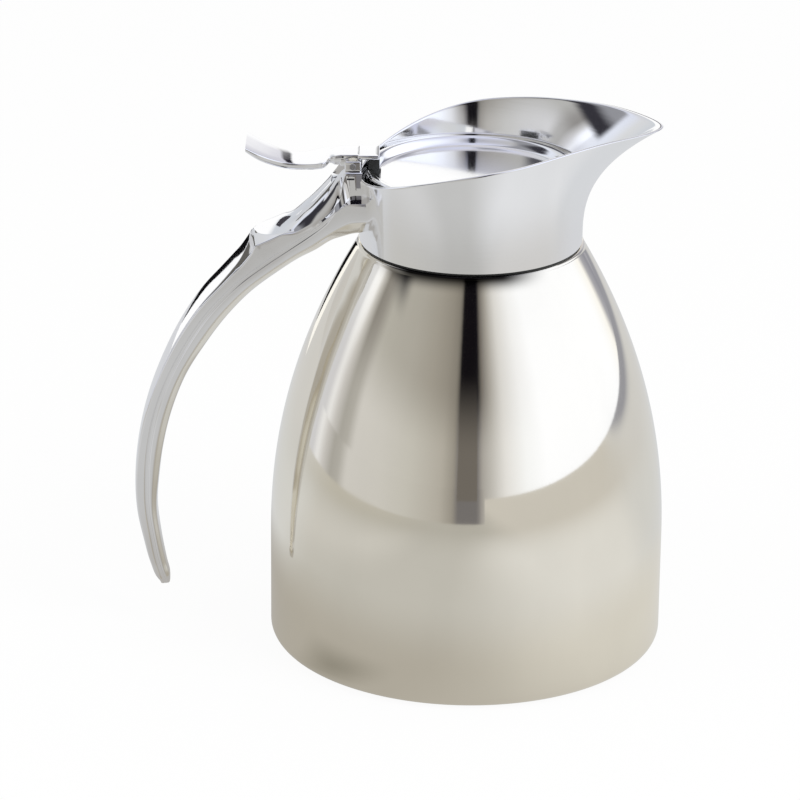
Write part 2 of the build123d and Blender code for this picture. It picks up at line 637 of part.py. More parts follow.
def post_blank():
    """The post that stands on the arm, with its two ears, before it is fitted."""
    ledge = PIN_Z - EAR_LEDGE
    front = PIN_X + POST_FRONT
    band = PIN_Z - POST_BAND
    low = PIN_Z - ARM_ROOT_TOP - POST_SINK
    with BuildPart() as post:
        with BuildSketch(Plane.XZ):
            with BuildLine():
                Polyline((PIN_X - POST_REAR, ledge), (front, ledge), (front, band),
                         (-ARM_ROOT_X, band), (-ARM_ROOT_X, low), (PIN_X, low),
                         (PIN_X - POST_FOOT[0], PIN_Z - POST_FOOT[1]),
                         (PIN_X - POST_WAIST[0], PIN_Z - POST_WAIST[1]), close=True)
            make_face()
        extrude(amount=POST_HALF_WIDTH, both=True)
        with BuildSketch(Plane.XZ) as ear:
            with BuildLine():
                rear, top = PIN_X - EAR_BEHIND, PIN_Z + EAR_TOP
                Polyline((rear, top), (PIN_X + EAR_FRONT, top), (PIN_X + EAR_FRONT, band),
                         (rear, band), close=True)
            make_face()
            fillet(ear.vertices().group_by(Axis.Z)[-1], EAR_ROUND)
        extrude(amount=EAR_OUTER, both=True)
    return post


def hub_room():
    """Room for the lever's hub and neck between the ears, from rest to fully open."""
    reach = HUB_RADIUS + HINGE_CLEARANCE
    tilt = radians(LID_OPENING)
    drop = HINGE_CLEARANCE
    behind, under = LEVER_STATIONS[-1][:2]
    neck = [(0, -HUB_RADIUS - drop), (-behind - LEVER_OVERLAP, under - drop)]
    (x0, z0), (x1, z1) = [(x * cos(tilt) - z * sin(tilt), x * sin(tilt) + z * cos(tilt))
                          for x, z in neck]
    with BuildPart() as room:
        with BuildSketch(Plane.XZ):
            with BuildLine():
                outline = [(x0, z0), (x1, z1), (x1, 0), (-reach, reach + EAR_TOP),
                           (2 * reach, reach + EAR_TOP), (2 * reach, -POST_BAND),
                           (x0, -POST_BAND)]
                Polyline(*[(PIN_X + x, PIN_Z + z) for x, z in outline], close=True)
            make_face()
            with Locations((PIN_X, PIN_Z)):
                Circle(reach)
        extrude(amount=EAR_INNER, both=True)
    return room


def strap_screw_shape():
    """Screw from under the arm up into the post, as a bare solid."""
    with BuildPart() as screw:
        with BuildSketch(Plane.XY.offset(PIN_Z - STRAP_SCREW_SEAT)):
            with Locations((PIN_X - STRAP_SCREW_BEHIND, 0)):
                Circle(SCREW_RADIUS)
        extrude(amount=STRAP_SCREW_SEAT - STRAP_SCREW_TOP)
        with BuildSketch(Plane.XY.offset(PIN_Z - STRAP_SCREW_SEAT)):
            with Locations((PIN_X - STRAP_SCREW_BEHIND, 0)):
                Circle(SCREW_HEAD_RADIUS)
        extrude(amount=-SCREW_HEAD_HEIGHT)
    return screw


def dowel_shapes():
    """Blind dowels across the seam of the two castings."""
    frames = seam_frames([s[:2] for s in HANDLE_STATIONS])
    with BuildPart() as dowels:
        for index in DOWEL_STATIONS:
            seam = frames[index]
            foot = seam.from_local_coords(Vector(-DOWEL_LENGTH / 2, 0, 0))
            with BuildSketch(Plane(origin=foot, x_dir=(0, 1, 0), z_dir=seam.x_dir)):
                Circle(DOWEL_RADIUS)
            extrude(amount=DOWEL_LENGTH)
    return dowels


def pin_shape():
    """Hinge pin across both ears."""
    with BuildPart() as pin:
        with BuildSketch(Plane.XZ):
            with Locations((PIN_X, PIN_Z)):
                Circle(PIN_RADIUS)
        extrude(amount=EAR_OUTER + PIN_PROUD, both=True)
        chamfer(pin.edges(), PIN_BEVEL)
    return pin


def make_handle(envelope, screws):
    """The two castings of the handle, with what joins them."""
    side = seam_side()
    strap_screw = strap_screw_shape()
    dowels = dowel_shapes()
    finish(strap_screw, "strap_screw")
    finish(dowels, "handle_dowels")

    with BuildPart() as arm:
        add(arm_blank().part)
        add(side.part, mode=Mode.INTERSECT)
        add(envelope.part, mode=Mode.SUBTRACT)
        with BuildSketch(Plane.XY.offset(PIN_Z - STRAP_SCREW_SEAT)):
            with Locations((PIN_X - STRAP_SCREW_BEHIND, 0)):
                Circle(SCREW_HEAD_RADIUS)
        extrude(amount=-ARM_ROOT_BOTTOM, mode=Mode.SUBTRACT)

    pin = pin_shape()
    slot = (PIN_X - POST_SLOT_BEHIND, PIN_Z - POST_SLOT_BELOW)
    with BuildPart() as strap:
        add(strap_blank().part)
        add(post_blank().part)
        add(side.part, mode=Mode.SUBTRACT)
        add(envelope.part, mode=Mode.SUBTRACT)
        add(hub_room().part, mode=Mode.SUBTRACT)
        add(pin.part, mode=Mode.SUBTRACT)
        add(dowels.part, mode=Mode.SUBTRACT)
        add(strap_screw.part, mode=Mode.SUBTRACT)
        for side in (-1, 1):
            with BuildSketch(Plane.XZ.offset(side * POST_HALF_WIDTH)):
                with Locations(slot):
                    Rectangle(POST_SLOT_LENGTH, POST_SLOT_HEIGHT)
            extrude(amount=-side * POST_SLOT_DEPTH, mode=Mode.SUBTRACT)
    finish(strap, "handle_strap")

    with BuildPart() as fitted_arm:
        add(arm.part)
        add(dowels.part, mode=Mode.SUBTRACT)
        add(strap_screw.part, mode=Mode.SUBTRACT)
        add(screws.part, mode=Mode.SUBTRACT)
    finish(fitted_arm, "handle_arm")
    finish(pin, "hinge_pin")


# ---- lid ------------------------------------------------------------------------------------
def bracket_shape():
    """Steel angle: a level leg under the cap and an upright leg through the lever's tongue."""
    upright = -(RISER_FRONT + (RISER_LENGTH - BRACKET_WALL) / 2)
    bracket_top = PIN_Z + TONGUE_TOP - BRACKET_COVER
    with BuildPart() as bracket:
        with BuildSketch(Plane.XZ):
            with BuildLine():
                low = PLUG_TOP - BRACKET_WALL
                Polyline((upright - BRACKET_WALL, low), (-BRACKET_END, low),
                         (-BRACKET_END, PLUG_TOP), (upright, PLUG_TOP),
                         (upright, bracket_top), (upright - BRACKET_WALL, bracket_top),
                         close=True)
            make_face()
        extrude(amount=BRACKET_HALF_WIDTH, both=True)
    return bracket


def bracket_screw_shapes():
    """Two countersunk screws that hold the angle's level leg on the plug."""
    x = -(BRACKET_END + LID_SCREW_HEAD + BRACKET_MARGIN)
    places = [(x, -LID_SCREW_SPACING / 2), (x, LID_SCREW_SPACING / 2)]
    with BuildPart() as screws:
        with BuildSketch(Plane.XY.offset(PLUG_TOP)):
            with Locations(*places):
                Circle(LID_SCREW_HEAD)
        extrude(amount=-LID_SCREW_HEAD_HEIGHT)
        with BuildSketch(Plane.XY.offset(PLUG_TOP)):
            with Locations(*places):
                Circle(LID_SCREW_RADIUS)
        extrude(amount=-LID_SCREW_LENGTH)
    return screws


def make_lid():
    """Cap, plug, foam, gasket, bracket and its screws."""
    bracket = bracket_shape()
    screws = bracket_screw_shapes()
    slope_top = LID_RADIUS - LID_RIM_WIDTH
    dish = slope_top - LID_SLOPE
    inner = LID_TOP - LID_DISH_DEPTH
    under = LID_TOP - LID_CAP_WALL
    notch = RISER_FRONT - CAP_NOTCH_GAP
    with BuildPart() as cap:
        with BuildSketch(Plane.XZ) as section:
            with BuildLine():
                Polyline((LID_RADIUS, LID_TOP - LID_SKIRT), (LID_RADIUS, LID_TOP),
                         (slope_top, LID_TOP), (dish, inner), (0, inner), (0, PLUG_TOP),
                         (dish + LID_CAP_WALL / 2, PLUG_TOP),
                         (slope_top + LID_CAP_WALL / 2, under),
                         (PLUG_RADIUS, under), (PLUG_RADIUS, LID_TOP - LID_SKIRT), close=True)
            make_face()
            top = section.vertices().filter_by(lambda v: abs(v.Z - LID_TOP) < LID_CAP_WALL / 4)
            fillet(top, LID_RIM_ROUND)
        revolve(axis=Axis.Z)
        with BuildSketch(Plane.XY.offset(LID_TOP - LID_SKIRT)):
            with Locations((-notch - LID_RADIUS, 0)):
                Rectangle(2 * LID_RADIUS, 2 * (RISER_HALF_WIDTH + CAP_NOTCH_GAP))
        extrude(amount=LID_SKIRT, mode=Mode.SUBTRACT)
    finish(cap, "lid_cap")

    funnel_slope = (FUNNEL_EDGE - SEAT_EDGE) / FUNNEL_HEIGHT
    edge_low = SEAT_EDGE + funnel_slope * GASKET_HEIGHT - PLUG_EDGE_GAP
    edge_high = PLUG_FACE + (PLUG_RADIUS - edge_low) / funnel_slope
    with BuildPart() as plug:
        add(revolve_profile([
            (0, PLUG_FACE - PLUG_DEPTH), (PLUG_NECK - PLUG_TAPER, PLUG_FACE - PLUG_DEPTH),
            (PLUG_NECK, PLUG_FACE), (edge_low, PLUG_FACE), (PLUG_RADIUS, edge_high),
            (PLUG_RADIUS, PLUG_TOP), (0, PLUG_TOP)]).part)
        with BuildSketch(Plane.XZ) as riser:
            with BuildLine():
                Polyline((-RISER_FRONT - RISER_LENGTH, edge_high), (-RISER_FRONT, edge_high),
                         (-RISER_FRONT, RISER_TOP), (-RISER_FRONT - RISER_LENGTH, RISER_TOP),
                         close=True)
            make_face()
        extrude(amount=RISER_HALF_WIDTH, both=True)
        with BuildSketch(Plane.XY.offset(PLUG_FACE - PLUG_DEPTH + PLUG_FLOOR)):
            Circle(FOAM_RADIUS)
        extrude(amount=2 * LID_HEIGHT, mode=Mode.SUBTRACT)
        add(bracket.part, mode=Mode.SUBTRACT)
        add(screws.part, mode=Mode.SUBTRACT)
    finish(plug, "lid_plug")

    with BuildPart() as foam:
        with BuildSketch(Plane.XY.offset(PLUG_FACE - PLUG_DEPTH + PLUG_FLOOR)):
            Circle(FOAM_RADIUS)
        extrude(amount=PLUG_TOP - (PLUG_FACE - PLUG_DEPTH + PLUG_FLOOR))
    finish(foam, "lid_insulation")

    inside = MOUTH_RADIUS + GASKET_INSET
    gasket = revolve_profile([
        (inside, SEAT_Z), (inside + GASKET_WIDTH, SEAT_Z),
        (inside + GASKET_WIDTH, PLUG_FACE), (inside, PLUG_FACE)])
    finish(gasket, "lid_gasket")

    with BuildPart() as drilled:
        add(bracket.part)
        add(screws.part, mode=Mode.SUBTRACT)
    finish(drilled, "lid_bracket")
    finish(screws, "bracket_screws")
    return bracket


# ---- lever ----------------------------------------------------------------------------------
def lever_blade():
    """The thumb lever's blade: bevelled sections from its tip to the neck."""
    with BuildPart() as blade:
        for behind, under, top, half in LEVER_STATIONS:
            place = Plane(origin=(PIN_X - behind, 0, PIN_Z), x_dir=(0, 1, 0), z_dir=(1, 0, 0))
            side = under + LEVER_SIDE * (top - under)
            with BuildSketch(place):
                with BuildLine():
                    Polyline((-half, top), (half, top), (half, side),
                             (half - LEVER_BEVEL, under), (LEVER_BEVEL - half, under),
                             (-half, side), close=True)
                make_face()
        loft()
    return blade


def make_lever(bracket):
    """Thumb lever with its hub between the ears and its tongue over the lid's riser."""
    tongue_end = -RISER_FRONT - PIN_X
    tongue_start = EAR_FRONT + HINGE_CLEARANCE
    behind, under, top, _ = LEVER_STATIONS[-1]
    with BuildPart() as lever:
        add(lever_blade().part)
        with BuildSketch(Plane.XZ):
            with Locations((PIN_X, PIN_Z)):
                Circle(HUB_RADIUS)
            with BuildLine():
                outline = [(-behind - LEVER_OVERLAP, under), (0, -HUB_RADIUS), (HUB_RADIUS, 0),
                           (HUB_RADIUS, TONGUE_TOP - TONGUE_WALL),
                           (tongue_end, TONGUE_TOP - TONGUE_WALL), (tongue_end, TONGUE_TOP),
                           (-NECK_KNEE, TONGUE_TOP), (-behind - LEVER_OVERLAP, top)]
                Polyline(*[(PIN_X + x, PIN_Z + z) for x, z in outline], close=True)
            make_face()
        extrude(amount=HUB_HALF_WIDTH, both=True)
        with BuildSketch(Plane.XY.offset(PIN_Z + TONGUE_TOP - TONGUE_WALL)):
            with Locations((PIN_X + (tongue_start + tongue_end) / 2, 0)):
                Rectangle(tongue_end - tongue_start, 2 * TONGUE_HALF_WIDTH)
        extrude(amount=TONGUE_WALL)
        with BuildSketch(Plane.XZ):
            with Locations((PIN_X, PIN_Z)):
                Circle(BUSH_RADIUS)
        extrude(amount=HUB_HALF_WIDTH, both=True, mode=Mode.SUBTRACT)
        add(bracket.part, mode=Mode.SUBTRACT)
    finish(lever, "thumb_lever")

    with BuildPart() as bushes:
        for side in (-1, 1):
            with BuildSketch(Plane.XZ.offset(side * (HUB_HALF_WIDTH - BUSH_LENGTH))):
                with Locations((PIN_X, PIN_Z)):
                    Circle(BUSH_RADIUS)
            extrude(amount=side * BUSH_LENGTH)
            with BuildSketch(Plane.XZ.offset(side * HUB_HALF_WIDTH)):
                with Locations((PIN_X, PIN_Z)):
                    Circle(BUSH_FLANGE_RADIUS)
            extrude(amount=side * BUSH_FLANGE)
        with BuildSketch(Plane.XZ):
            with Locations((PIN_X, PIN_Z)):
                Circle(PIN_RADIUS + PIN_FIT)
        extrude(amount=HUB_HALF_WIDTH + BUSH_FLANGE, both=True, mode=Mode.SUBTRACT)
    finish(bushes, "hinge_bushes")


def main():
    """Build every piece and write its STEP file."""
    os.makedirs("parts", exist_ok=True)
    make_outer_shell()
    make_inner_flask()
    make_radiation_shield()
    make_base_pieces()
    envelope = collar_envelope()
    make_collar(envelope)
    make_collar_insert()
    screws = make_handle_fixings()
    make_handle(envelope, screws)
    make_lever(make_lid())


if __name__ == "__main__":
    main()
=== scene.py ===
"""Thermal carafe with a flip lid: polished skins, castings, finishes, floor, light and camera
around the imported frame. Metres, +Z up, +X towards the spout, the handle on -X."""

import math

import bpy
import numpy as np
from mathutils import Matrix, Vector


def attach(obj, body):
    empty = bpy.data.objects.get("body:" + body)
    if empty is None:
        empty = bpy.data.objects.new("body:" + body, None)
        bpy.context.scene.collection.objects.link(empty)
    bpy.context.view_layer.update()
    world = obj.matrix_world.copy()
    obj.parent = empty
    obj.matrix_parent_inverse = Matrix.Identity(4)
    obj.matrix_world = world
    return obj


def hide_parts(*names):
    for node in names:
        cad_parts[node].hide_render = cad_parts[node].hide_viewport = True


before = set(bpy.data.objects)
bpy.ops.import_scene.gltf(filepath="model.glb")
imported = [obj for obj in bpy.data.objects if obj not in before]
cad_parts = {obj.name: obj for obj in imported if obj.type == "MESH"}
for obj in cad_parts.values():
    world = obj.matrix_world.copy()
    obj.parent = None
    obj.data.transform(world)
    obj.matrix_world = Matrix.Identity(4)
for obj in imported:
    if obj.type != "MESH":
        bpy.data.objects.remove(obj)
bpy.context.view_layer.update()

bl_info = {
    "name": "Thermal carafe with flip lid",
    "version": (1, 0, 0),
    "blender": (4, 5, 0),
    "location": "3D View > Sidebar > Carafe",
    "description": "Polished skins, castings and finishes for a thermal carafe",
    "category": "Object",
}

MM = 0.001
TURN = 2 * math.pi
SHARP = 32.0  # degrees


# ---- numbers on curves ------------------------------------------------------------------------
def through(knots, values, at):
    """Smooth curve through values at rising knots: cubic Hermite pieces whose slope at each
    knot is the mean of the slopes of the chords either side, weighted by their spans."""
    t = np.asarray(knots, float)
    v = np.asarray(values, float)
    at = np.asarray(at, float)
    span = np.diff(t)
    shape = (-1,) + (1,) * (v.ndim - 1)
    chord = np.diff(v, axis=0) / span.reshape(shape)
    before, after = span[:-1].reshape(shape), span[1:].reshape(shape)
    inner = (after * chord[:-1] + before * chord[1:]) / (before + after)
    slope = np.concatenate([[1.5 * chord[0] - 0.5 * inner[0]], inner,
                            [1.5 * chord[-1] - 0.5 * inner[-1]]])
    k = np.clip(np.searchsorted(t, at, side="right") - 1, 0, len(span) - 1)
    s = ((at - t[k]) / span[k]).reshape(at.shape + (1,) * (v.ndim - 1))
    h = span[k].reshape(s.shape)
    return ((2 * s ** 3 - 3 * s ** 2 + 1) * v[k] + (s ** 3 - 2 * s ** 2 + s) * h * slope[k]
            + (3 * s ** 2 - 2 * s ** 3) * v[k + 1] + (s ** 3 - s ** 2) * h * slope[k + 1])


def lengths(points):
    """Running length along rows of points."""
    step = np.linalg.norm(np.diff(points, axis=0), axis=-1)
    return np.concatenate([[0.0], np.cumsum(step)])


def softened(corners, radii, steps=5):
    """Closed outlines with rounded corners, one per row. Each corner is cut back by its radius
    towards both neighbours, and the cut is bridged by the parabola whose apex leans on the
    corner: (1-s)^2 start + 2s(1-s) corner + s^2 end."""
    c = np.asarray(corners, float)
    r = np.broadcast_to(np.asarray(radii, float), c.shape[:2])[..., None]
    back, ahead = np.roll(c, 1, axis=1) - c, np.roll(c, -1, axis=1) - c
    lb = np.linalg.norm(back, axis=-1, keepdims=True)
    la = np.linalg.norm(ahead, axis=-1, keepdims=True)
    cut = np.minimum(r, 0.45 * np.minimum(lb, la))
    start, end = c + back / lb * cut, c + ahead / la * cut
    s = np.linspace(0, 1, steps)[None, None, :, None]
    bend = ((1 - s) ** 2 * start[:, :, None] + 2 * s * (1 - s) * c[:, :, None]
            + s ** 2 * end[:, :, None])
    return bend.reshape(c.shape[0], -1, c.shape[-1])


# ---- meshes -----------------------------------------------------------------------------------
def outward(points, faces):
    """Faces turned so that the enclosed volume, the sum of the signed tetrahedra, is positive."""
    a, b, c = points[faces[:, 0]], points[faces[:, 1]], points[faces[:, 2]]
    volume = np.einsum("ij,ij->i", a, np.cross(b, c)).sum()
    if faces.shape[1] == 4:
        d = points[faces[:, 3]]
        volume += np.einsum("ij,ij->i", a, np.cross(c, d)).sum()
    return faces if volume > 0 else faces[:, ::-1]


def grid_faces(rows, columns, ring, loop):
    """Quads between neighbouring rows and columns; ring closes the columns, loop the rows."""
    i = np.arange(rows if loop else rows - 1)[:, None]
    j = np.arange(columns if ring else columns - 1)[None, :]
    i, j = np.broadcast_arrays(i, j)
    i2, j2 = (i + 1) % rows, (j + 1) % columns
    return np.stack([i * columns + j, i * columns + j2, i2 * columns + j2, i2 * columns + j],
                    axis=-1).reshape(-1, 4)


def crisp(mesh):
    """Smooth shading, with the edges that bend by more than SHARP degrees left crisp."""
    mesh.shade_smooth()
    mesh.set_sharp_from_angle(angle=math.radians(SHARP))


def write_mesh(name, parts):
    """One mesh object from parts, each a pair (points in millimetres, list of face arrays)."""
    verts, loops, totals, base = [], [], [], 0
    for points, face_sets in parts:
        verts.append(points * MM)
        for faces in face_sets:
            loops.append((faces + base).ravel())
            totals.append(np.full(len(faces), faces.shape[1]))
        base += len(points)
    verts, loops, totals = np.concatenate(verts), np.concatenate(loops), np.concatenate(totals)
    mesh = bpy.data.meshes.new(name)
    mesh.vertices.add(len(verts))
    mesh.vertices.foreach_set("co", verts.astype(np.float32).ravel())
    mesh.loops.add(len(loops))
    mesh.loops.foreach_set("vertex_index", loops.astype(np.int32))
    mesh.polygons.add(len(totals))
    starts = np.concatenate([[0], np.cumsum(totals)[:-1]])
    mesh.polygons.foreach_set("loop_start", starts.astype(np.int32))
    mesh.update(calc_edges=True)
    mesh.validate()
    crisp(mesh)
    piece = bpy.data.objects.new(name, mesh)
    bpy.context.scene.collection.objects.link(piece)
    return piece


def turned(profile, around=256):
    """Closed surface of revolution: the closed (radius, height) profile carried round Z, so a
    point is (r cos a, r sin a, z)."""
    angle = np.arange(around)[:, None] * TURN / around
    r, z = profile.T[:, None, :]
    points = np.stack([r * np.cos(angle), r * np.sin(angle), z + 0 * angle], axis=-1)
    faces = grid_faces(around, len(profile), True, True)
    flat = points.reshape(-1, 3)
    return flat, [outward(flat, faces)]


def carried(sections):
    """Closed sections carried along a path, (station, outline point, xyz), with both ends shut
    by fans to their middles."""
    rows, columns = sections.shape[:2]
    flat = sections.reshape(-1, 3)
    ends = np.stack([sections[0].mean(0), sections[-1].mean(0)])
    points = np.concatenate([flat, ends])
    side = grid_faces(rows, columns, True, False)
    j = np.arange(columns)
    k = (j + 1) % columns
    near = np.stack([k, j, np.full(columns, rows * columns)], axis=-1)
    far = np.stack([j, k, np.full(columns, rows * columns + 1)], axis=-1)
    far[:, :2] += (rows - 1) * columns
    turned_side = outward(points, side)
    if not np.array_equal(turned_side, side):
        near, far = near[:, ::-1], far[:, ::-1]
    return points, [turned_side, near, far]


def level_box(x, y, z, soft, steps=5):
    """Box between pairs of x, y and z, with its upright edges and its rims rounded by soft: the
    plan outline is carried up while it draws in along a quarter circle at each end."""
    lift = np.linspace(0, math.pi / 2, steps)
    inset = soft * (1 - np.sin(lift))
    rise = soft * (1 - np.cos(lift))
    heights = np.concatenate([z[0] + rise, z[1] - rise[::-1]])
    insets = np.concatenate([inset, inset[::-1]])
    plan = np.stack([np.stack([x[0] + insets, y[0] + insets], -1),
                     np.stack([x[1] - insets, y[0] + insets], -1),
                     np.stack([x[1] - insets, y[1] - insets], -1),
                     np.stack([x[0] + insets, y[1] - insets], -1)], axis=1)
    outline = softened(plan, soft, steps)
    level = np.broadcast_to(heights[:, None, None], outline.shape[:2] + (1,))
    return carried(np.concatenate([outline, level], axis=-1))


# ---- sizes and colours --------------------------------------------------------------------------
def length(name, description, millimetres):
    """A length property with its default in metres."""
    return bpy.props.FloatProperty(name=name, description=description, unit="LENGTH",
                                   subtype="DISTANCE", default=millimetres * MM)


def colour(name, description, rgb):
    """A colour property; rgb is written as 0-255 screen values."""
    return bpy.props.FloatVectorProperty(name=name, description=description, subtype="COLOR",
                                         size=3, min=0.0, max=1.0, default=screen(*rgb))


def screen(r, g, b):
    """Screen values 0-255 as the linear light that shows them."""
    v = np.array([r, g, b], float) / 255
    lit = np.where(v <= 0.04045, v / 12.92, ((v + 0.055) / 1.055) ** 2.4)
    return tuple(float(x) for x in lit)


class BodySizes(bpy.types.PropertyGroup):
    """Bell-shaped body."""
    belly: length("Belly radius", "Outside radius of the straight lower part", 56.2)
    belly_top: length("Belly top", "Height where the bell starts to draw in", 32.0)
    shoulder: length("Shoulder radius", "Outside radius under the collar", 31.5)
    shoulder_z: length("Shoulder height", "Height of the flat shoulder", 119.5)
    rolled_foot: length("Rolled foot", "Radius of the rolled bottom corner", 3.6)
    wall: length("Wall", "Thickness of the steel", 0.6)
    power: bpy.props.FloatProperty(name="Bell power", default=2.1,
                                   description="How late the bell draws in")


class CollarSizes(bpy.types.PropertyGroup):
    """Pouring collar."""
    radius: length("Collar radius", "Outside of its lower edge", 31.3)
    base_z: length("Collar height", "Height of its lower edge", 120.2)
    wall: length("Wall", "Thickness of the steel", 1.0)
    flare: length("Flare", "Gain in radius over 30 mm of height", 2.1)
    side_flare: length("Side flare", "Further gain at the two sides", 1.9)
    reach: length("Spout reach", "How far the spout leaves the round collar", 17.35)
    lip: length("Lip", "Height of the rounding on the outside of the rim", 0.7)


class HingeSizes(bpy.types.PropertyGroup):
    """Hinge pin and the post that carries it."""
    pin_x: length("Pin X", "Place of the pin's axis", -33.1)
    pin_z: length("Pin Z", "Height of the pin's axis", 142.6)
    post_half: length("Post half width", "Half the width of the post", 7.7)


class Colours(bpy.types.PropertyGroup):
    """Tones of the finishes."""
    steel: colour("Body steel", "Polished stainless steel of the body", (246, 241, 228))
    collar: colour("Collar steel", "Polished steel of collar and lid", (250, 250, 250))
    chrome: colour("Chrome", "Polished casting", (248, 248, 249))
    plastic: colour("Black plastic", "Moulded plastic", (30, 31, 30))
    rubber: colour("Rubber", "Foot pad", (24, 24, 25))
    floor: colour("Floor", "Pale floor as metal shows it", (197, 197, 196))


# ---- finishes -----------------------------------------------------------------------------------
class Reading:
    """A shader value that plain arithmetic works on: each operator adds one Math node."""

    def __init__(self, finish, socket):
        self.finish = finish
        self.socket = socket

    def _maths(self, operation, *values):
        node = self.finish.tree.nodes.new("ShaderNodeMath")
        node.operation = operation
        for place, value in enumerate(values):
            self.finish.feed(node.inputs[place], value)
        return Reading(self.finish, node.outputs[0])

    def _operator(operation, reflected=False):
        """An operator with another value, which stands first in the reflected form."""
        def apply(self, other):
            return self._maths(operation, *((other, self) if reflected else (self, other)))
        return apply

    __add__, __radd__ = _operator("ADD"), _operator("ADD", True)
    __sub__, __rsub__ = _operator("SUBTRACT"), _operator("SUBTRACT", True)
    __mul__, __rmul__ = _operator("MULTIPLY"), _operator("MULTIPLY", True)
    __truediv__, __rtruediv__ = _operator("DIVIDE"), _operator("DIVIDE", True)
    __pow__, __rpow__ = _operator("POWER"), _operator("POWER", True)

    def band(self, low, high):
        """0 below low, 1 above high, eased between."""
        t = (self - low) / (high - low)
        t = t._maths("MINIMUM", t._maths("MAXIMUM", t, 0.0), 1.0)
        return t * t * (3.0 - 2.0 * t)


class Finish:
    """A node material, or any other node tree, that is built by calls."""

    def __init__(self, name=None, tree=None):
        if tree is None:
            self.material = bpy.data.materials.new(name)
            self.material.use_nodes = True
            tree = self.material.node_tree
        self.tree = tree
        tree.nodes.clear()

    def feed(self, socket, value):
        """Link a reading or a socket, or set a plain value."""
        if isinstance(value, Reading):
            self.tree.links.new(value.socket, socket)
        elif isinstance(value, bpy.types.NodeSocket):
            self.tree.links.new(value, socket)
        elif hasattr(value, "__len__") and len(value) == 3 and len(socket.default_value) == 4:
            socket.default_value = (*value, 1.0)
        else:
            socket.default_value = value

    def node(self, kind, settings=None, **values):
        """A node of that type; settings come first, then the values or links of its sockets.
        Stops of a ramp are pairs (place, colour)."""
        node = self.tree.nodes.new("ShaderNode" + kind)
        settings = dict(settings or {})
        stops = settings.pop("stops", None)
        for key, value in settings.items():
            setattr(node, key, value)
        if stops:
            ramp = node.color_ramp
            ramp.elements[0].position = stops[0][0]
            ramp.elements[1].position = stops[-1][0]
            for place, _ in stops[1:-1]:
                ramp.elements.new(place)
            for element, (_, tone) in zip(sorted(ramp.elements, key=lambda e: e.position), stops):
                element.color = (*tone, 1.0)
        for key, value in values.items():
            self.feed(node.inputs[key.replace("_", " ")], value)
        return node

    def read(self, node, output=0):
        """One output of a node as a value to reckon with."""
        return Reading(self, node.outputs[output])

    def here(self):
        """Object coordinates."""
        return self.node("TexCoord").outputs["Object"]

    def axes(self):
        """Object coordinates as three readings."""
        split = self.node("SeparateXYZ", Vector=self.here())
        return [self.read(split, axis) for axis in "XYZ"]

    def place(self, scale=(1, 1, 1)):
        """Object coordinates, stretched."""
        return self.node("Mapping", {"vector_type": "POINT"}, Vector=self.here(),
                         Scale=scale).outputs[0]

    def vectors(self, operation, *values):
        """A Vector Math node over vectors or colours."""
        node = self.node("VectorMath", {"operation": operation})
        for place, value in enumerate(values):
            self.feed(node.inputs[place], value)
        return node

    def noise(self, scale, detail=2.0, stretch=(1, 1, 1), roughness=0.5):
        """Noise over the object's own space, 0 to 1."""
        made = self.node("TexNoise", Vector=self.place(stretch), Scale=scale, Detail=detail,
                         Roughness=roughness)
        return self.read(made, "Fac")

    def bump(self, height, strength, distance):
        """A Bump node's normal from a height reading."""
        made = self.node("Bump", Strength=strength, Distance=distance, Height=height)
        return made.outputs[0]

    def shaders(self, share, first, second):
        """The first shader where the share is 0, the second where it is 1."""
        mix = self.node("MixShader", Fac=share)
        self.tree.links.new(first.outputs[0], mix.inputs[1])
        self.tree.links.new(second.outputs[0], mix.inputs[2])
        return mix

    def show(self, shader, output="OutputMaterial"):
        """Link a shader to the tree's output."""
        self.tree.links.new(shader.outputs[0], self.node(output).inputs["Surface"])

    def surface(self, **values):
        """The Principled shader as the material's surface."""
        self.show(self.node("BsdfPrincipled", **values))
        return self.material

    def glow(self, tone, strength=1.0):
        """A stage piece's own light as the material's surface."""
        self.show(self.node("Emission", Color=tone, Strength=strength))
        return self.material


def blend_colours(finish, share, first, second):
    """Colour between two, by a reading. A Mix node's colours are its sockets 6 and 7, and
    their blend is its output 2."""
    mix = finish.node("Mix", {"data_type": "RGBA"})
    for place, value in ((0, share), (6, first), (7, second)):
        finish.feed(mix.inputs[place], value)
    return mix.outputs[2]


def smeared(finish, share, tone, worn):
    """A tone that is worn times as bright where it is smeared."""
    return blend_colours(finish, share, tone, tuple(worn * c for c in tone))


# Every maker of a finish takes the group Colours; small fittings carry tones of their own.
def polished_steel(tones):
    """Mirror-polished steel: faint lines from the polishing wheel, handling smears, and a painted
    shade band on the shoulder under the collar."""
    f = Finish("polished_steel")
    lines = f.noise(1.0, 3.0, (900, 900, 40))
    smear = f.noise(38.0, 4.0, (1, 1, 0.45))
    waves = f.noise(60.0, 2.0, (1, 1, 0.15))
    tone = smeared(f, smear.band(0.35, 0.75), tones.steel, 0.96)
    aside, _, height = f.axes()
    # painted shade: seam is a near-black band painted on the shoulder just under the collar,
    # standing in for the collar's shade and dark reflection, faded out to the sides along X
    seam = height.band(0.1146, 0.1192) ** 1.4
    seam = seam * aside.band(-0.028, -0.017) * (1.0 - aside.band(0.008, 0.022))
    tone = blend_colours(f, seam, tone, screen(28, 26, 25))
    return f.surface(Base_Color=tone, Metallic=1.0,
                     Roughness=0.035 + 0.03 * smear.band(0.4, 0.8) + 0.015 * lines,
                     Normal=f.bump(0.12 * lines + waves, 0.06, 0.0002))


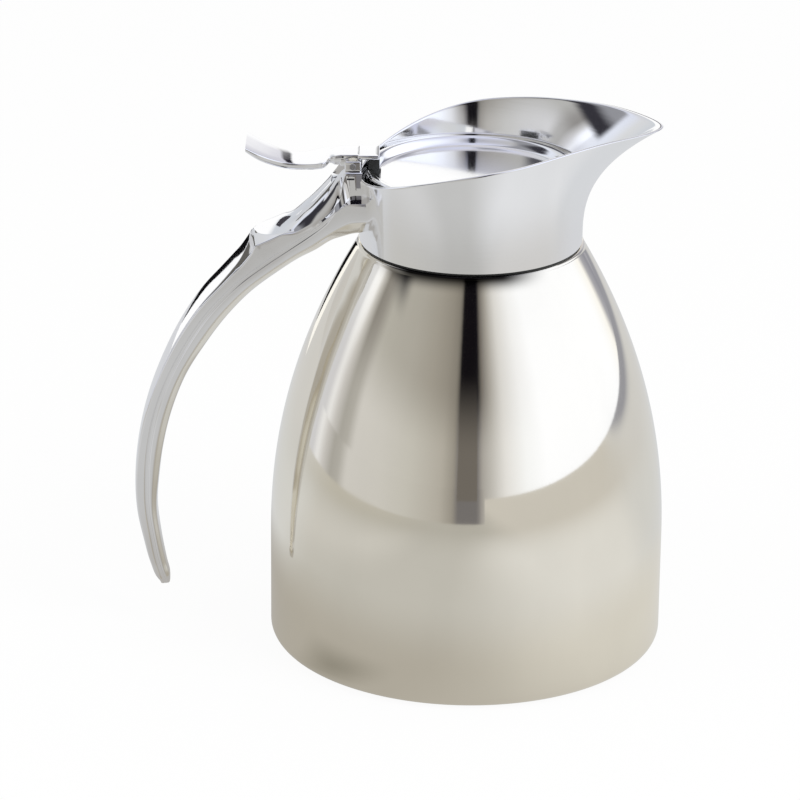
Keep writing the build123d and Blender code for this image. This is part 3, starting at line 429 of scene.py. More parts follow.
def spun_steel(tones):
    """Polished spun steel of the collar: neutral, with faint turning lines and smears."""
    f = Finish("spun_steel")
    lines = f.noise(1.0, 3.0, (60, 60, 1400))
    smear = f.noise(45.0, 4.0, (1, 1, 0.6))
    tone = smeared(f, smear.band(0.35, 0.75), tones.collar, 0.96)
    return f.surface(Base_Color=tone, Metallic=1.0,
                     Roughness=0.06 + 0.04 * smear.band(0.4, 0.8) + 0.03 * lines,
                     Normal=f.bump(lines, 0.05, 0.0001))


def satin_lid(tones):
    """Finely turned steel of the lid: rings about its middle and a soft sheen."""
    f = Finish("satin_lid")
    flat = f.vectors("MULTIPLY", f.here(), (1.0, 1.0, 0.0))
    span = f.read(f.vectors("LENGTH", flat.outputs[0]), "Value")
    rings = f.read(f.node("TexNoise", {"noise_dimensions": "1D"}, W=span * 6000.0, Scale=1.0,
                          Detail=3.0), "Fac")
    smear = f.noise(50.0, 4.0)
    tone = smeared(f, smear.band(0.4, 0.8), tones.collar, 0.97)
    return f.surface(Base_Color=tone, Metallic=1.0, Roughness=0.07 + 0.03 * rings + 0.02 * smear,
                     Normal=f.bump(rings, 0.04, 0.00005))


def polished_casting(tones):
    """Chrome over a cast and buffed core: soft orange peel and a few pits."""
    f = Finish("polished_casting")
    peel = f.noise(320.0, 2.0)
    smear = f.noise(55.0, 4.0)
    pits = f.noise(2600.0, 1.0).band(0.74, 0.82)
    tone = smeared(f, smear.band(0.45, 0.8), tones.chrome, 0.95)
    return f.surface(Base_Color=tone, Metallic=1.0,
                     Roughness=0.04 + 0.035 * smear.band(0.4, 0.8) + 0.1 * pits,
                     Normal=f.bump(peel - 0.4 * pits, 0.05, 0.00025))


def moulded_plastic(tones):
    """Black moulded plastic with a fine spark texture."""
    f = Finish("moulded_plastic")
    grain = f.noise(3800.0, 2.0)
    haze = f.noise(45.0, 3.0)
    tone = smeared(f, haze, tones.plastic, 1.5)
    return f.surface(Base_Color=tone, Roughness=0.38 + 0.14 * haze,
                     Normal=f.bump(grain, 0.25, 0.00012))


def matt_rubber(tones):
    """Rubber with a dusty bloom."""
    f = Finish("matt_rubber")
    bloom = f.noise(70.0, 5.0)
    grain = f.noise(5200.0, 2.0)
    tone = blend_colours(f, bloom.band(0.45, 0.85), tones.rubber, screen(62, 61, 59))
    return f.surface(Base_Color=tone, Roughness=0.72 + 0.15 * bloom,
                     Normal=f.bump(grain, 0.35, 0.00015))


def brushed_steel(tones):
    """Drawn steel that is not polished: rings from drawing and a satin sheen."""
    f = Finish("brushed_steel")
    rings = f.noise(1.0, 4.0, (60, 60, 5200))
    cloud = f.noise(50.0, 3.0)
    tone = blend_colours(f, cloud, screen(205, 204, 201), screen(184, 183, 180))
    return f.surface(Base_Color=tone, Metallic=1.0, Roughness=0.26 + 0.12 * rings,
                     Normal=f.bump(rings, 0.2, 0.00008))


def grained(name, grain, share, first, second, rough, relief, metallic=0.0):
    """A finish that one noise rules: its share in the second tone (narrowed to a band, or None
    for the noise itself), its roughness rough[0] + rough[1] noise, and its relief."""
    f = Finish(name)
    noise = f.noise(*grain)
    tone = blend_colours(f, noise.band(*share) if share else noise, screen(*first),
                         screen(*second))
    return f.surface(Base_Color=tone, Metallic=metallic, Roughness=rough[0] + rough[1] * noise,
                     Normal=f.bump(noise, *relief))


def bright_fastener(tones):
    """Turned steel of screws and dowels."""
    return grained("bright_fastener", (1.0, 3.0, (4200, 4200, 4200)), None, (196, 196, 197),
                   (168, 168, 170), (0.22, 0.15), (0.15, 0.00006), 1.0)


def plain_nylon(tones):
    """Natural nylon: milky, slightly waxy."""
    return grained("plain_nylon", (260.0, 3.0), None, (226, 223, 212), (208, 204, 192),
                   (0.42, 0.1), (0.1, 0.0001))


def clear_silicone(tones):
    """Milky silicone of the gasket, with a dusty grip."""
    return grained("clear_silicone", (420.0, 4.0), (0.5, 0.8), (214, 214, 210), (190, 189, 184),
                   (0.5, 0.2), (0.12, 0.0001))


def thin_foil(tones):
    """Wrapped foil with soft creases."""
    return grained("thin_foil", (240.0, 5.0, (1, 1, 0.4), 0.6), None, (236, 236, 238),
                   (205, 206, 210), (0.16, 0.14), (0.5, 0.0004), 1.0)


def rigid_foam(tones):
    """Insulating foam with open cells."""
    f = Finish("rigid_foam")
    cells = f.node("TexVoronoi", Vector=f.place(), Scale=1300.0)
    depth = f.read(cells, "Distance")
    tone = blend_colours(f, depth, screen(228, 214, 170), screen(196, 178, 130))
    return f.surface(Base_Color=tone, Roughness=0.8 + 0.1 * depth,
                     Normal=f.bump(depth, 0.5, 0.0003))


FINISHES = {
    "mirror_steel": polished_steel, "flask_steel": brushed_steel, "foil": thin_foil,
    "getter_metal": bright_fastener, "solder": bright_fastener,
    "chrome_casting": polished_casting, "black_plastic": moulded_plastic,
    "black_rubber": matt_rubber, "silicone": clear_silicone, "foam": rigid_foam,
    "bright_screw": bright_fastener, "nylon": plain_nylon,
}
# The hinge pin keeps the frame's own dark finish.
NODE_SLOTS = {
    "inner_flask": "flask_steel", "radiation_shield": "foil", "getter": "getter_metal",
    "base_plate": "flask_steel", "vacuum_seal": "solder", "base_cover": "black_plastic",
    "foot_pad": "black_rubber", "neck_gasket": "silicone", "collar_insert": "black_plastic",
    "screw_plate": "bright_screw", "handle_screws": "bright_screw",
    "handle_dowels": "bright_screw", "strap_screw": "bright_screw",
    "lid_plug": "black_plastic", "lid_insulation": "foam", "lid_gasket": "silicone",
    "lid_bracket": "bright_screw", "bracket_screws": "bright_screw", "hinge_bushes": "nylon",
}


def finish_of(slot):
    """The material of a slot, made once."""
    maker = FINISHES[slot]
    made = bpy.data.materials.get(maker.__name__)
    return made or maker(bpy.context.scene.carafe_colours)


def dress(piece, body, slot, *nodes, finish=None):
    """Give a piece its finish, its body and the nodes that it stands for."""
    piece.data.materials.clear()
    piece.data.materials.append(finish(bpy.context.scene.carafe_colours) if finish
                                else finish_of(slot))
    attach(piece, body)
    if nodes:
        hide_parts(*nodes)
    return piece


# ---- shapes, all in millimetres -----------------------------------------------------------------
NECK_RADIUS, NECK_HEIGHT = 27.0, 10.9   # outside of the shell's neck, height over the shoulder
FOOT_LIFT, FOOT_LIP = 0.4, 1.2          # gap under the steel, flat lip inside the rolled foot
SHOULDER_ROUND = 0.8                    # rounding between bell and shoulder


def bell_profile(sizes):
    """Closed profile of the shell. Outside: a lip, a quarter circle, a straight wall, then
    R = belly - (belly - shoulder) t^power with t from 0 to 1 between belly top and shoulder; a
    small quarter circle, the shoulder and the neck. Inside: the same line a wall further in."""
    belly, top = sizes.belly / MM, sizes.belly_top / MM
    shoulder, high = sizes.shoulder / MM, sizes.shoulder_z / MM
    roll, wall, neck = sizes.rolled_foot / MM, sizes.wall / MM, NECK_RADIUS

    def line(inset, steps):
        turn = np.linspace(-math.pi / 2, 0, 12)
        corner = np.stack([belly - roll + (roll - inset) * np.cos(turn),
                           FOOT_LIFT + roll + (roll - inset) * np.sin(turn)], -1)
        climb = np.linspace(FOOT_LIFT + roll, top, 12)[1:-1]
        straight = np.stack([np.full(10, belly - inset), climb], -1)
        z = top + (high - top - SHOULDER_ROUND) * np.linspace(0, 1, steps)
        share = (z - top) / (high - top)
        bell = np.stack([belly - (belly - shoulder) * share ** sizes.power - inset, z], -1)
        turn = np.linspace(0.15, math.pi / 2, 6)
        soft = SHOULDER_ROUND - 0.5 * inset
        edge = bell[-1, 0]
        round_off = np.stack([edge - soft + soft * np.cos(turn),
                              high - inset - soft + soft * np.sin(turn)], -1)
        rise = np.array([[neck - inset, high + up] for up in (-inset, 5.5, NECK_HEIGHT)])
        lip = np.array([[belly - roll - FOOT_LIP, FOOT_LIFT + inset]])
        return np.concatenate([lip, corner, straight, bell, round_off, rise])
    return np.concatenate([line(0.0, 150), line(wall, 40)[::-1]])


# Rim: place along X and height over the rim's middle
RIM = np.array([(-32.5, -10.9), (-27.0, -8.6), (-11.7, -3.0), (0.0, 0.0),
                (12.8, 2.0), (25.0, 3.7), (38.0, 4.7), (53.0, 4.1)])
RIM_Z = 149.4
FLARE_HEIGHT = 30.0         # the flare and the spout are measured over this height
SPOUT_START = 2.0           # height over the collar's edge where the spout begins
SPOUT_SIDE = 74.0           # degrees from its middle to where it ends
SPOUT_NOSE = 0.08           # how blunt its middle is


def collar_radius(sizes, angle, level):
    """Level radius at an angle from the spout: base + (flare + side flare sin^2 angle)
    (h/30)^2.5 + reach rise^2.68 (1 - away)^2.9, where away is the angle's share of 74 degrees,
    rounded at the nose."""
    h = np.maximum(level, 0.0)
    rise = np.maximum(0.0, (h - SPOUT_START) / FLARE_HEIGHT)
    share = np.minimum(1.0, np.abs(angle) / math.radians(SPOUT_SIDE))
    blunt = SPOUT_NOSE
    away = (np.sqrt(share ** 2 + blunt ** 2) - blunt) / (math.sqrt(1 + blunt ** 2) - blunt)
    gain = sizes.flare / MM + sizes.side_flare / MM * np.sin(angle) ** 2
    return (sizes.radius / MM + gain * (h / FLARE_HEIGHT) ** 2.5
            + sizes.reach / MM * rise ** 2.68 * (1 - away) ** 2.9)


def collar_grid(sizes, around=384):
    """Collar as (angle, profile point, xyz). The outside climbs from the lower edge to the rim,
    turns over a lip that is an ellipse in section, and comes down a wall further in."""
    a = np.arange(around) * TURN / around
    a = np.where(a > math.pi, a - TURN, a)[:, None]
    base, wall = sizes.base_z / MM, sizes.wall / MM
    top = np.full_like(a, 25.0)
    for _ in range(60):  # halves the way to where the wall meets the rim's line
        x = collar_radius(sizes, a, top) * np.cos(a)
        rim = through(*RIM.T, np.clip(x, RIM[0, 0], RIM[-1, 0])) + RIM_Z - base
        top = 0.5 * top + 0.5 * rim
    lip = sizes.lip / MM * (0.45 + 0.55 * (1 - np.clip(x / 40.0, 0, 1)))
    up = np.linspace(0, 1, 90)[None, :]
    bend = np.linspace(0, math.pi / 2, 9)[None, 1:]
    inner_bend = np.linspace(math.pi / 2, math.pi, 6)[None, 1:]
    levels = [(top - lip) * up, top - lip * (1 - np.sin(bend)),
              top - 0.4 * (1 - np.sin(inner_bend)), (top - 0.4) * up[:, ::-1][:, 1:]]
    outer = 0.62 * wall
    insets = [0 * up + 0 * a, outer * (1 - np.cos(bend)) + 0 * a,
              wall - (wall - outer) * (1 + np.cos(inner_bend)) + 0 * a,
              wall + 0 * up[:, 1:] + 0 * a]
    h = np.concatenate([level + 0 * a for level in levels], axis=1)
    inset = np.concatenate(insets, axis=1)
    slope = (collar_radius(sizes, a, h + 0.05) - collar_radius(sizes, a, h - 0.05)) / 0.1
    r = collar_radius(sizes, a, h) - inset * np.sqrt(1 + np.minimum(slope, 1.6) ** 2)
    return np.stack([r * np.cos(a), r * np.sin(a), base + h], axis=-1)


def cap_profile():
    """Closed profile of the lid: skirt, raised rim, an S-shaped slope down to a dish that is
    0.05 mm hollow at its middle, and the underside."""
    rim_r, top, dish_r, deep, soft, hollow = 29.65, 141.0, 25.95, 2.3, 0.65, 0.05
    skirt, crest = 28.85, rim_r - 2 * soft
    turn = np.linspace(0, math.pi / 2, 8)
    outer = np.stack([rim_r - soft + soft * np.cos(turn), top - soft + soft * np.sin(turn)], -1)
    s = np.linspace(0, 1, 30)
    ease = s * s * (3 - 2 * s)
    slope = np.stack([crest - (crest - dish_r) * s, top - deep * ease], -1)
    r = np.linspace(dish_r, 0, 60)[1:]
    dish = np.stack([r, top - deep - hollow * (1 - (r / dish_r) ** 2)], -1)
    under = np.array([[0.0, 137.9], [26.4, 137.9], [28.4, 140.2], [skirt, 140.2],
                      [skirt, 137.6], [rim_r, 137.6]])
    return np.concatenate([outer, slope, dish, under])


# Strap: seam line and top line (behind and below the pin), half width, half width of the crest,
# fall of the chamfers beside it, fall of the rounded back, and half width along the seam. The
# top line breaks at the row LIP, close to the highest point of the lip.
STRAP_ROWS = np.array([
    (53.5, 128.7, 54.9, 128.5, 2, 1.6, 0, 0, 2), (54.15, 127, 56.2, 126.6, 2.8, 2.4, 0, 0, 2.8),
    (55.6, 122, 58.05, 121.7, 3.4, 3, 0, 0, 3.4),
    (57.1, 113.6, 59.9, 113.9, 4.4, 3.9, 0.1, 0, 4.4),
    (58.3, 104.2, 61.6, 104.4, 5.4, 4.9, 0.1, 0, 5.4),
    (58.4, 94.4, 61.9, 94.4, 6.3, 5.8, 0.1, 0, 6.3),
    (57.5, 83.9, 60.85, 83.2, 7.1, 6.5, 0.12, 0, 7.1),
    (55.1, 72.2, 58.15, 71.2, 7.9, 7.3, 0.14, 0, 7.9),
    (51.2, 61.6, 54.05, 60.2, 8.5, 7.8, 0.15, 0, 8.5),
    (45.9, 51.4, 48.85, 49.7, 8.9, 8.2, 0.15, 0, 8.9),
    (39.1, 41.4, 42, 39.5, 9.2, 8.4, 0.2, 0, 9.2),
    (34.8, 36.7, 37.6, 34.5, 9.28, 8, 0.3, 0, 9.28),
    (31.2, 33.2, 34, 30.3, 9.3, 7.4, 0.5, 0, 9.3),
    (28.9, 31.4, 32.1, 28, 9.32, 6.8, 0.8, 0, 9.32),
    (27, 29.9, 30.4, 25.3, 9.33, 5.4, 1.2, 0, 9.33),
    (25.4, 28.6, 29, 22.7, 9.34, 3.2, 1.6, 0, 9.34),
    (24.2, 27.7, 27.9, 20.5, 9.35, 0.3, 1.8, 0, 9.35),
    (23.4, 27.1, 26.6, 20.35, 9.36, 3.8, 1.5, 0, 9.36),
    (22.4, 26.4, 25, 20.1, 9.4, 5.9, 1.1, 0, 9.4),
    (20.6, 25.1, 22.3, 19.4, 9.45, 7.8, 0.6, 0, 9.45),
    (17.5, 22.9, 19.3, 18.05, 9.6, 8.7, 0.1, 0.4, 9.6),
    (15.1, 21.2, 16.8, 16.4, 9.8, 9.2, 0, 1.9, 9.8),
    (12.5, 19.2, 13.9, 13.7, 10.05, 9.5, 0, 3.4, 10.05),
    (10.5, 17.6, 11.8, 11.8, 10.25, 9.7, 0, 4, 10.25),
    (8.1, 15.55, 9.3, 9.1, 10.1, 9.5, 0, 5, 10.55), (6.1, 13.5, 7, 6.4, 9.6, 9, 0, 5.4, 10.75),
    (4.5, 11.8, 5, 3.7, 8.9, 8.3, 0, 5.8, 10.6), (3.1, 10.6, 3.8, 1.8, 8.2, 7.6, 0, 5.6, 10),
    (2.1, 9.9, 3, 1.1, 7.8, 7.2, 0, 2.5, 9), (1.2, 9.5, 2.3, 1, 7.7, 7.1, 0, 0.3, 8.1),
    (-0.5, 9.3, -0.1, 1, 7.7, 7.1, 0, 0, 7.7), (-2.5, 9.3, -2.5, 1, 7.7, 7.1, 0, 0, 7.7)])
LIP = 15

# Arm: seam line and inner line (behind and below the pin), half width
ARM_ROWS = np.array([
    (53.5, 128.7, 52.4, 128.3, 2), (54.15, 127, 52.4, 126.4, 2.8), (55.6, 122, 53.3, 122.2, 3.4),
    (57.1, 113.6, 54.8, 113.9, 4.4), (58.3, 104.2, 55.8, 104.4, 5.4),
    (58.4, 94.4, 55.05, 94.4, 6.3), (57.5, 83.9, 53.6, 84.3, 7.1), (55.1, 72.2, 51, 73.4, 7.9),
    (51.2, 61.6, 46.9, 62.6, 8.5), (45.9, 51.4, 41.55, 53.5, 8.9), (39.1, 41.4, 35, 44.3, 9.2),
    (31.2, 33.2, 27.8, 36.6, 9.3), (24.3, 27.8, 21.3, 31.5, 9.35), (17.5, 22.9, 14.9, 27, 9.6),
    (12.5, 19.2, 10.1, 24.3, 10.05), (8.1, 15.55, 5.9, 21.4, 10.65), (4.5, 11.8, 2.8, 20.2, 11.1),
    (1.2, 9.5, -0.1, 19.3, 11.35), (-1.9, 9.2, -2.5, 19, 11.5), (-6.1, 9.2, -6.1, 18.9, 11.5)])

# Lever: behind the pin, underside and top above it, half width
LEVER_ROWS = np.array([
    (29.8, 4.1, 5.5, 7.6), (26.5, 1.8, 3.8, 7.3), (22.7, 0.0, 2.1, 6.5), (18.1, -1.3, 0.8, 5.8),
    (13.5, -1.4, 0.5, 6.0), (9.7, -0.9, 1.0, 7.0), (8.2, -0.5, 1.4, 7.2), (7.4, -0.2, 1.6, 6.4),
    (6.7, 0.0, 1.85, 4.35), (5.0, -0.4, 2.45, 4.3), (3.6, -0.4, 2.75, 4.3),
    (2.6, -0.4, 2.8, 4.3)])

UNDER_COLLAR = 0.35         # a casting ends this far inside the collar's outer face
RIM_LEVEL = 18.2            # height over the collar's edge where the post stands free of it
GROOVE = 0.4                # depth of the seam's groove in each casting
HUB_RADIUS, HUB_HALF = 2.3, 4.3


def pin_place(hinge):
    """X and Z of the pin's axis in millimetres."""
    return hinge.pin_x / MM, hinge.pin_z / MM


def groove_depth(behind):
    """Depth of the seam's groove, which fades out at the post."""
    return GROOVE * np.clip((behind - 4.0) / 3.0, 0.08, 1.0)


def between(sizes, hinge, foot, head, heights, across):
    """Points of sections set up from foot lines to head lines, both (behind, below) the pin:
    each point lies heights of the way up from foot, in millimetres, and across from the middle."""
    way = head - foot
    long = np.linalg.norm(way, axis=-1, keepdims=True)
    unit = way / long
    behind = foot[:, None, 0] + unit[:, None, 0] * heights
    below = foot[:, None, 1] + unit[:, None, 1] * heights
    px, pz = pin_place(hinge)
    return against_collar(sizes, np.stack([px - behind, across, pz - below], -1))


def against_collar(sizes, points):
    """Points that would pass the collar's wall, held just inside its outer face, and above the
    collar's rim held at the post's front face."""
    x, y, z = points[..., 0], points[..., 1], points[..., 2]
    level = z - sizes.base_z / MM
    angle = np.pi - np.abs(y) / 31.5
    radius = collar_radius(sizes, angle, level) - UNDER_COLLAR
    wall = -np.sqrt(np.maximum(radius ** 2 - y ** 2, 0.0))
    front = 0.7 - sizes.radius / MM
    wall = np.where(level > RIM_LEVEL, np.maximum(wall, front), wall)
    return np.stack([np.minimum(x, wall), y, z], -1)


def strap_sections(sizes, hinge, count=260):
    """Strap and post in one: height over the seam at a distance w from the middle is
    L - round (w/h)^4 - fall (w - crest)/(h - crest) - 0.4 (w/h)^2, with rounded corners; the
    top line breaks at the lip, where the hollow for the thumb ends."""
    seam, top = STRAP_ROWS[:, 0:2], STRAP_ROWS[:, 2:4]
    run = lengths(0.5 * (seam + top))
    t = np.unique(np.concatenate([np.linspace(0, run[-1], count),
                                  np.linspace(run[LIP - 2], run[LIP + 2], 70)]))
    foot, rest = through(run, seam, t), through(run, STRAP_ROWS[:, 4:], t)
    outer = through(run[:LIP + 1], top[:LIP + 1], np.minimum(t, run[LIP]))
    hollow = through(run[LIP:], top[LIP:], np.maximum(t, run[LIP]))
    head = np.where((t <= run[LIP])[:, None], outer, hollow)
    tall = np.linalg.norm(head - foot, axis=-1)[:, None]
    half, soft = rest[:, 0][:, None], 0.5
    crest = np.clip(rest[:, 1][:, None], 0.25, half - soft - 0.05)
    fall, rounding = np.maximum(rest[:, 2:4], 0.0).T[..., None]
    turn = np.linspace(math.pi / 2, 0, 7)[None, :-1]
    corner = half - soft + soft * np.sin(turn)
    beside = crest + (half - soft - crest) * np.linspace(1, 0, 12)[None, :-1]
    middle = crest * np.linspace(1, 0, 12)[None, :]
    w = np.concatenate([corner, beside, middle], axis=1)
    lowered = np.concatenate([soft * (1 - np.cos(turn)) + 0 * half, 0 * beside, 0 * middle], axis=1)
    high = (tall - rounding * (w / half) ** 4 - 0.4 * (w / half) ** 2 - lowered
            - fall * np.clip((w - crest) / (half - crest), 0, 1))
    high = np.maximum(high, 1.3)
    seam_half = rest[:, 4][:, None]
    groove = groove_depth(foot[:, :1])
    side_w = np.concatenate([seam_half - groove, seam_half - groove, seam_half], axis=1)
    side_h = np.concatenate([0 * groove - 0.02, 0.9 * groove, 1.9 * groove], axis=1)
    across = np.concatenate([side_w, w, -w[:, -2::-1], -side_w[:, ::-1]], axis=1)
    heights = np.concatenate([side_h, high, high[:, -2::-1], side_h[:, ::-1]], axis=1)
    return between(sizes, hinge, foot, head, heights, across)


def arm_sections(sizes, hinge, count=200):
    """Arm: half of the seam groove, sides, a crease, slanted undersides and a narrow inner face,
    from its tip to the collar."""
    seam, inside = ARM_ROWS[:, 0:2], ARM_ROWS[:, 2:4]
    run = lengths(0.5 * (seam + inside))
    t = np.linspace(0, run[-1], count)
    foot, head = through(run, seam, t), through(run, inside, t)
    half = through(run, ARM_ROWS[:, 4], t)
    thick = np.linalg.norm(head - foot, axis=-1)
    groove = groove_depth(foot[:, 0])
    inner = half - groove
    side = [(inner, 0 * t - 0.02), (inner, 0.9 * groove), (half, 1.9 * groove),
            (half, 0.55 * thick), (0.66 * half, thick)]
    corners = [(-w, h) for w, h in side] + side[::-1]
    outline = np.stack([np.stack(c, -1) for c in corners], axis=1)
    radii = (0.05, 0.15, 0.3, 0.6, 0.8)
    outline = softened(outline, np.array([radii + radii[::-1]]))
    return between(sizes, hinge, foot, head, outline[..., 1], outline[..., 0])


def lever_sections(hinge, count=140):
    """Lever: a crowned top, short sides and a bevel below, from the tip to the tongue."""
    run = -LEVER_ROWS[:, 0]
    t = np.linspace(run[0], run[-1], count)
    under, top, half = (through(run, LEVER_ROWS[:, k], t) for k in (1, 2, 3))
    side = under + 0.45 * (top - under)
    corners = [(-half, top), (0 * t, top + 0.05), (half, top), (half, side),
               (half - 0.9, under), (0.9 - half, under), (-half, side)]
    outline = np.stack([np.stack(c, -1) for c in corners], axis=1)
    radii = np.array([0.35, 3.0, 0.35, 0.4, 0.4, 0.4, 0.4])
    outline = softened(outline, radii[None, :])
    px, pz = pin_place(hinge)
    x = np.broadcast_to((px + t)[:, None], outline.shape[:2])
    return np.stack([x, outline[..., 0], pz + outline[..., 1]], -1)


def hub(hinge, bore=1.0, bevel=0.25):
    """Round hub about the pin, with bevelled ends."""
    px, pz = pin_place(hinge)
    turn = np.arange(48) * TURN / 48
    half = (HUB_HALF, HUB_HALF, HUB_HALF - bevel)
    end = (bore, HUB_RADIUS - bevel, HUB_RADIUS)
    y = np.array([-h for h in half] + [*half[::-1]])[:, None]
    r = np.array(end + end[::-1])[:, None]
    return carried(np.stack([px + r * np.cos(turn), y + 0 * turn, pz + r * np.sin(turn)], -1))


def prism(outline, y):
    """Closed prism over an (x, z) outline between two y."""
    rows = [np.stack([outline[:, 0], np.full(len(outline), level), outline[:, 1]], -1)
            for level in y]
    return carried(np.stack(rows))


def cut_from(piece, name, parts):
    """Cut closed parts out of a piece and leave its mesh plain."""
    cutter = write_mesh(name, parts)
    cut = piece.modifiers.new("cut", "BOOLEAN")
    cut.operation, cut.solver, cut.object = "DIFFERENCE", "EXACT", cutter
    bpy.context.view_layer.update()
    found = piece.evaluated_get(bpy.context.evaluated_depsgraph_get())
    mesh = bpy.data.meshes.new_from_object(found)
    piece.modifiers.clear()
    piece.data = mesh
    bpy.data.objects.remove(cutter)
    crisp(mesh)


# ---- operators ----------------------------------------------------------------------------------
class CARAFE_OT_body(bpy.types.Operator):
    """Make the bell-shaped body"""
    bl_idname = "carafe.body"
    bl_label = "Body"

    def execute(self, context):
        shell = write_mesh("bell_shell", [turned(bell_profile(context.scene.carafe_body), 320)])
        dress(shell, "carafe", "mirror_steel", "outer_shell")
        return {"FINISHED"}


class CARAFE_OT_collar(bpy.types.Operator):
    """Make the pouring collar"""
    bl_idname = "carafe.collar"
    bl_label = "Collar"

    def execute(self, context):
        grid = collar_grid(context.scene.carafe_collar)
        flat = grid.reshape(-1, 3)
        faces = outward(flat, grid_faces(grid.shape[0], grid.shape[1], True, True))
        collar = write_mesh("pouring_collar", [(flat, [faces])])
        dress(collar, "carafe", "mirror_steel", "collar", finish=spun_steel)
        return {"FINISHED"}


class CARAFE_OT_lid(bpy.types.Operator):
    """Make the lid's dished cap, notched for the hinge"""
    bl_idname = "carafe.lid"
    bl_label = "Lid"

    def execute(self, context):
        cap = write_mesh("dished_cap", [turned(cap_profile(), 256)])
        notch = np.array([(-32.0, 136.0), (-25.35, 136.0), (-25.35, 142.0), (-32.0, 142.0)])
        cut_from(cap, "notch", [prism(notch, (-4.4, 4.4))])
        dress(cap, "lid", "mirror_steel", "lid_cap", finish=satin_lid)
        return {"FINISHED"}


class CARAFE_OT_handle(bpy.types.Operator):
    """Make the two castings of the handle with the hinge post"""
    bl_idname = "carafe.handle"
    bl_label = "Handle"

    def execute(self, context):
        hinge, sizes = context.scene.carafe_hinge, context.scene.carafe_collar
        px, pz = pin_place(hinge)
        half = hinge.post_half / MM
        strap = write_mesh("strap_casting", [carried(strap_sections(sizes, hinge))])
        room = np.array([(1.58, -2.25), (-6.09, -5.42), (-6.09, 0.0), (-2.75, 4.25), (5.5, 4.25),
                         (5.5, -4.9), (1.58, -4.9)]) + (px, pz)
        slot = np.array([(-1.65, -3.45), (0.45, -3.45), (0.45, -2.75), (-1.65, -2.75)]) + (px, pz)
        inside, ear, slot_deep = 4.6, 6.5, 0.8
        cut_from(strap, "lever_room", [prism(room, (-inside, inside)),
                                       prism(slot, (-half - 1, slot_deep - half)),
                                       prism(slot, (half - slot_deep, half + 1))])
        dress(strap, "carafe", "chrome_casting", "handle_strap")
        ears = [level_box((px - 2.3, px + 2.3), pair, (pz - 4.0, pz + 1.5), 0.4)
                for pair in ((-ear, -inside), (inside, ear))]
        dress(write_mesh("hinge_ears", ears), "carafe", "chrome_casting", "handle_strap")
        arm = write_mesh("arm_casting", [carried(arm_sections(sizes, hinge))])
        dress(arm, "carafe", "chrome_casting", "handle_arm")
        return {"FINISHED"}


class CARAFE_OT_lever(bpy.types.Operator):
    """Make the thumb lever"""
    bl_idname = "carafe.lever"
    bl_label = "Thumb lever"

    def execute(self, context):
        hinge = context.scene.carafe_hinge
        px, pz = pin_place(hinge)
        blade = carried(lever_sections(hinge))
        blocks = [level_box((px + rear, px + front), (-half, half), (pz + low, pz + high), 0.3)
                  for rear, front, half, low, high in (
                      (-3.6, 2.2, HUB_HALF, -0.5, 1.9),    # neck over the hub
                      (-3.4, 2.0, HUB_HALF, 1.6, 2.8),     # tongue between the ears
                      (1.3, 7.35, 4.9, 1.6, 2.8))]         # its wider end over the lid
        dress(write_mesh("lever_casting", [blade, *blocks, hub(hinge)]), "lid",
              "chrome_casting", "thumb_lever")
        return {"FINISHED"}


class CARAFE_OT_fittings(bpy.types.Operator):
    """Give every other piece of the frame its finish"""
    bl_idname = "carafe.fittings"
    bl_label = "Fittings"

    def execute(self, context):
        for node, slot in NODE_SLOTS.items():
            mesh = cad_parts[node].data
            material = finish_of(slot)
            if not mesh.materials:
                mesh.materials.append(material)
            for place in range(len(mesh.materials)):
                mesh.materials[place] = material
        return {"FINISHED"}


def card(name, azimuths, distance, heights, tone, strength=1.0, above=None, climb=(0.05, 0.2)):
    """Upright stage card: a sector of a cylinder round the object, seen only in reflections,
    whose tone turns into the one above over the climb in metres."""
    a = np.radians(np.linspace(*azimuths, 40))[:, None]
    z = np.linspace(*heights, 3)[None, :]
    points = np.stack([distance * np.sin(a) + 0 * z, -distance * np.cos(a) + 0 * z, z + 0 * a], -1)
    piece = write_mesh(name, [(points.reshape(-1, 3), [grid_faces(40, 3, False, False)])])
    f = Finish(name)
    if above:
        tone = blend_colours(f, f.axes()[2].band(*climb), tone, above)
    piece.data.materials.append(f.glow(tone, strength))
    only_in_metal(piece)


def only_in_metal(piece):
    """Stage piece that neither the camera nor soft light sees."""
    piece.visible_camera = False
    piece.visible_diffuse = False
    piece.visible_shadow = False
    piece.visible_transmission = False
    piece.visible_volume_scatter = False


LOW_WALL = [  # azimuth from the front, screen tone of the room just above the table
    (-180, (255, 255, 255)), (-166, (255, 255, 255)), (-163, (204, 208, 214)),
    (-140, (198, 198, 200)), (-122, (206, 206, 207)), (-104, (206, 204, 203)),
    (-99, (232, 230, 226)), (-93, (200, 196, 190)), (-86, (168, 164, 155)),
    (-80, (176, 172, 163)), (-74, (207, 203, 195)), (-55, (203, 199, 190)),
    (-35, (193, 189, 178)), (-16, (176, 170, 158)), (-9, (152, 146, 134)),
    (-6, (114, 110, 107)), (5, (114, 110, 107)), (8, (165, 160, 152)), (14, (192, 188, 180)),
    (22, (226, 223, 217)), (35, (247, 247, 245)), (48, (255, 255, 255)),
    (128, (255, 255, 255)), (134, (172, 174, 186)), (142, (148, 150, 164)),
    (152, (196, 197, 208)), (160, (206, 205, 213)), (164, (255, 255, 255)),
    (180, (255, 255, 255))]
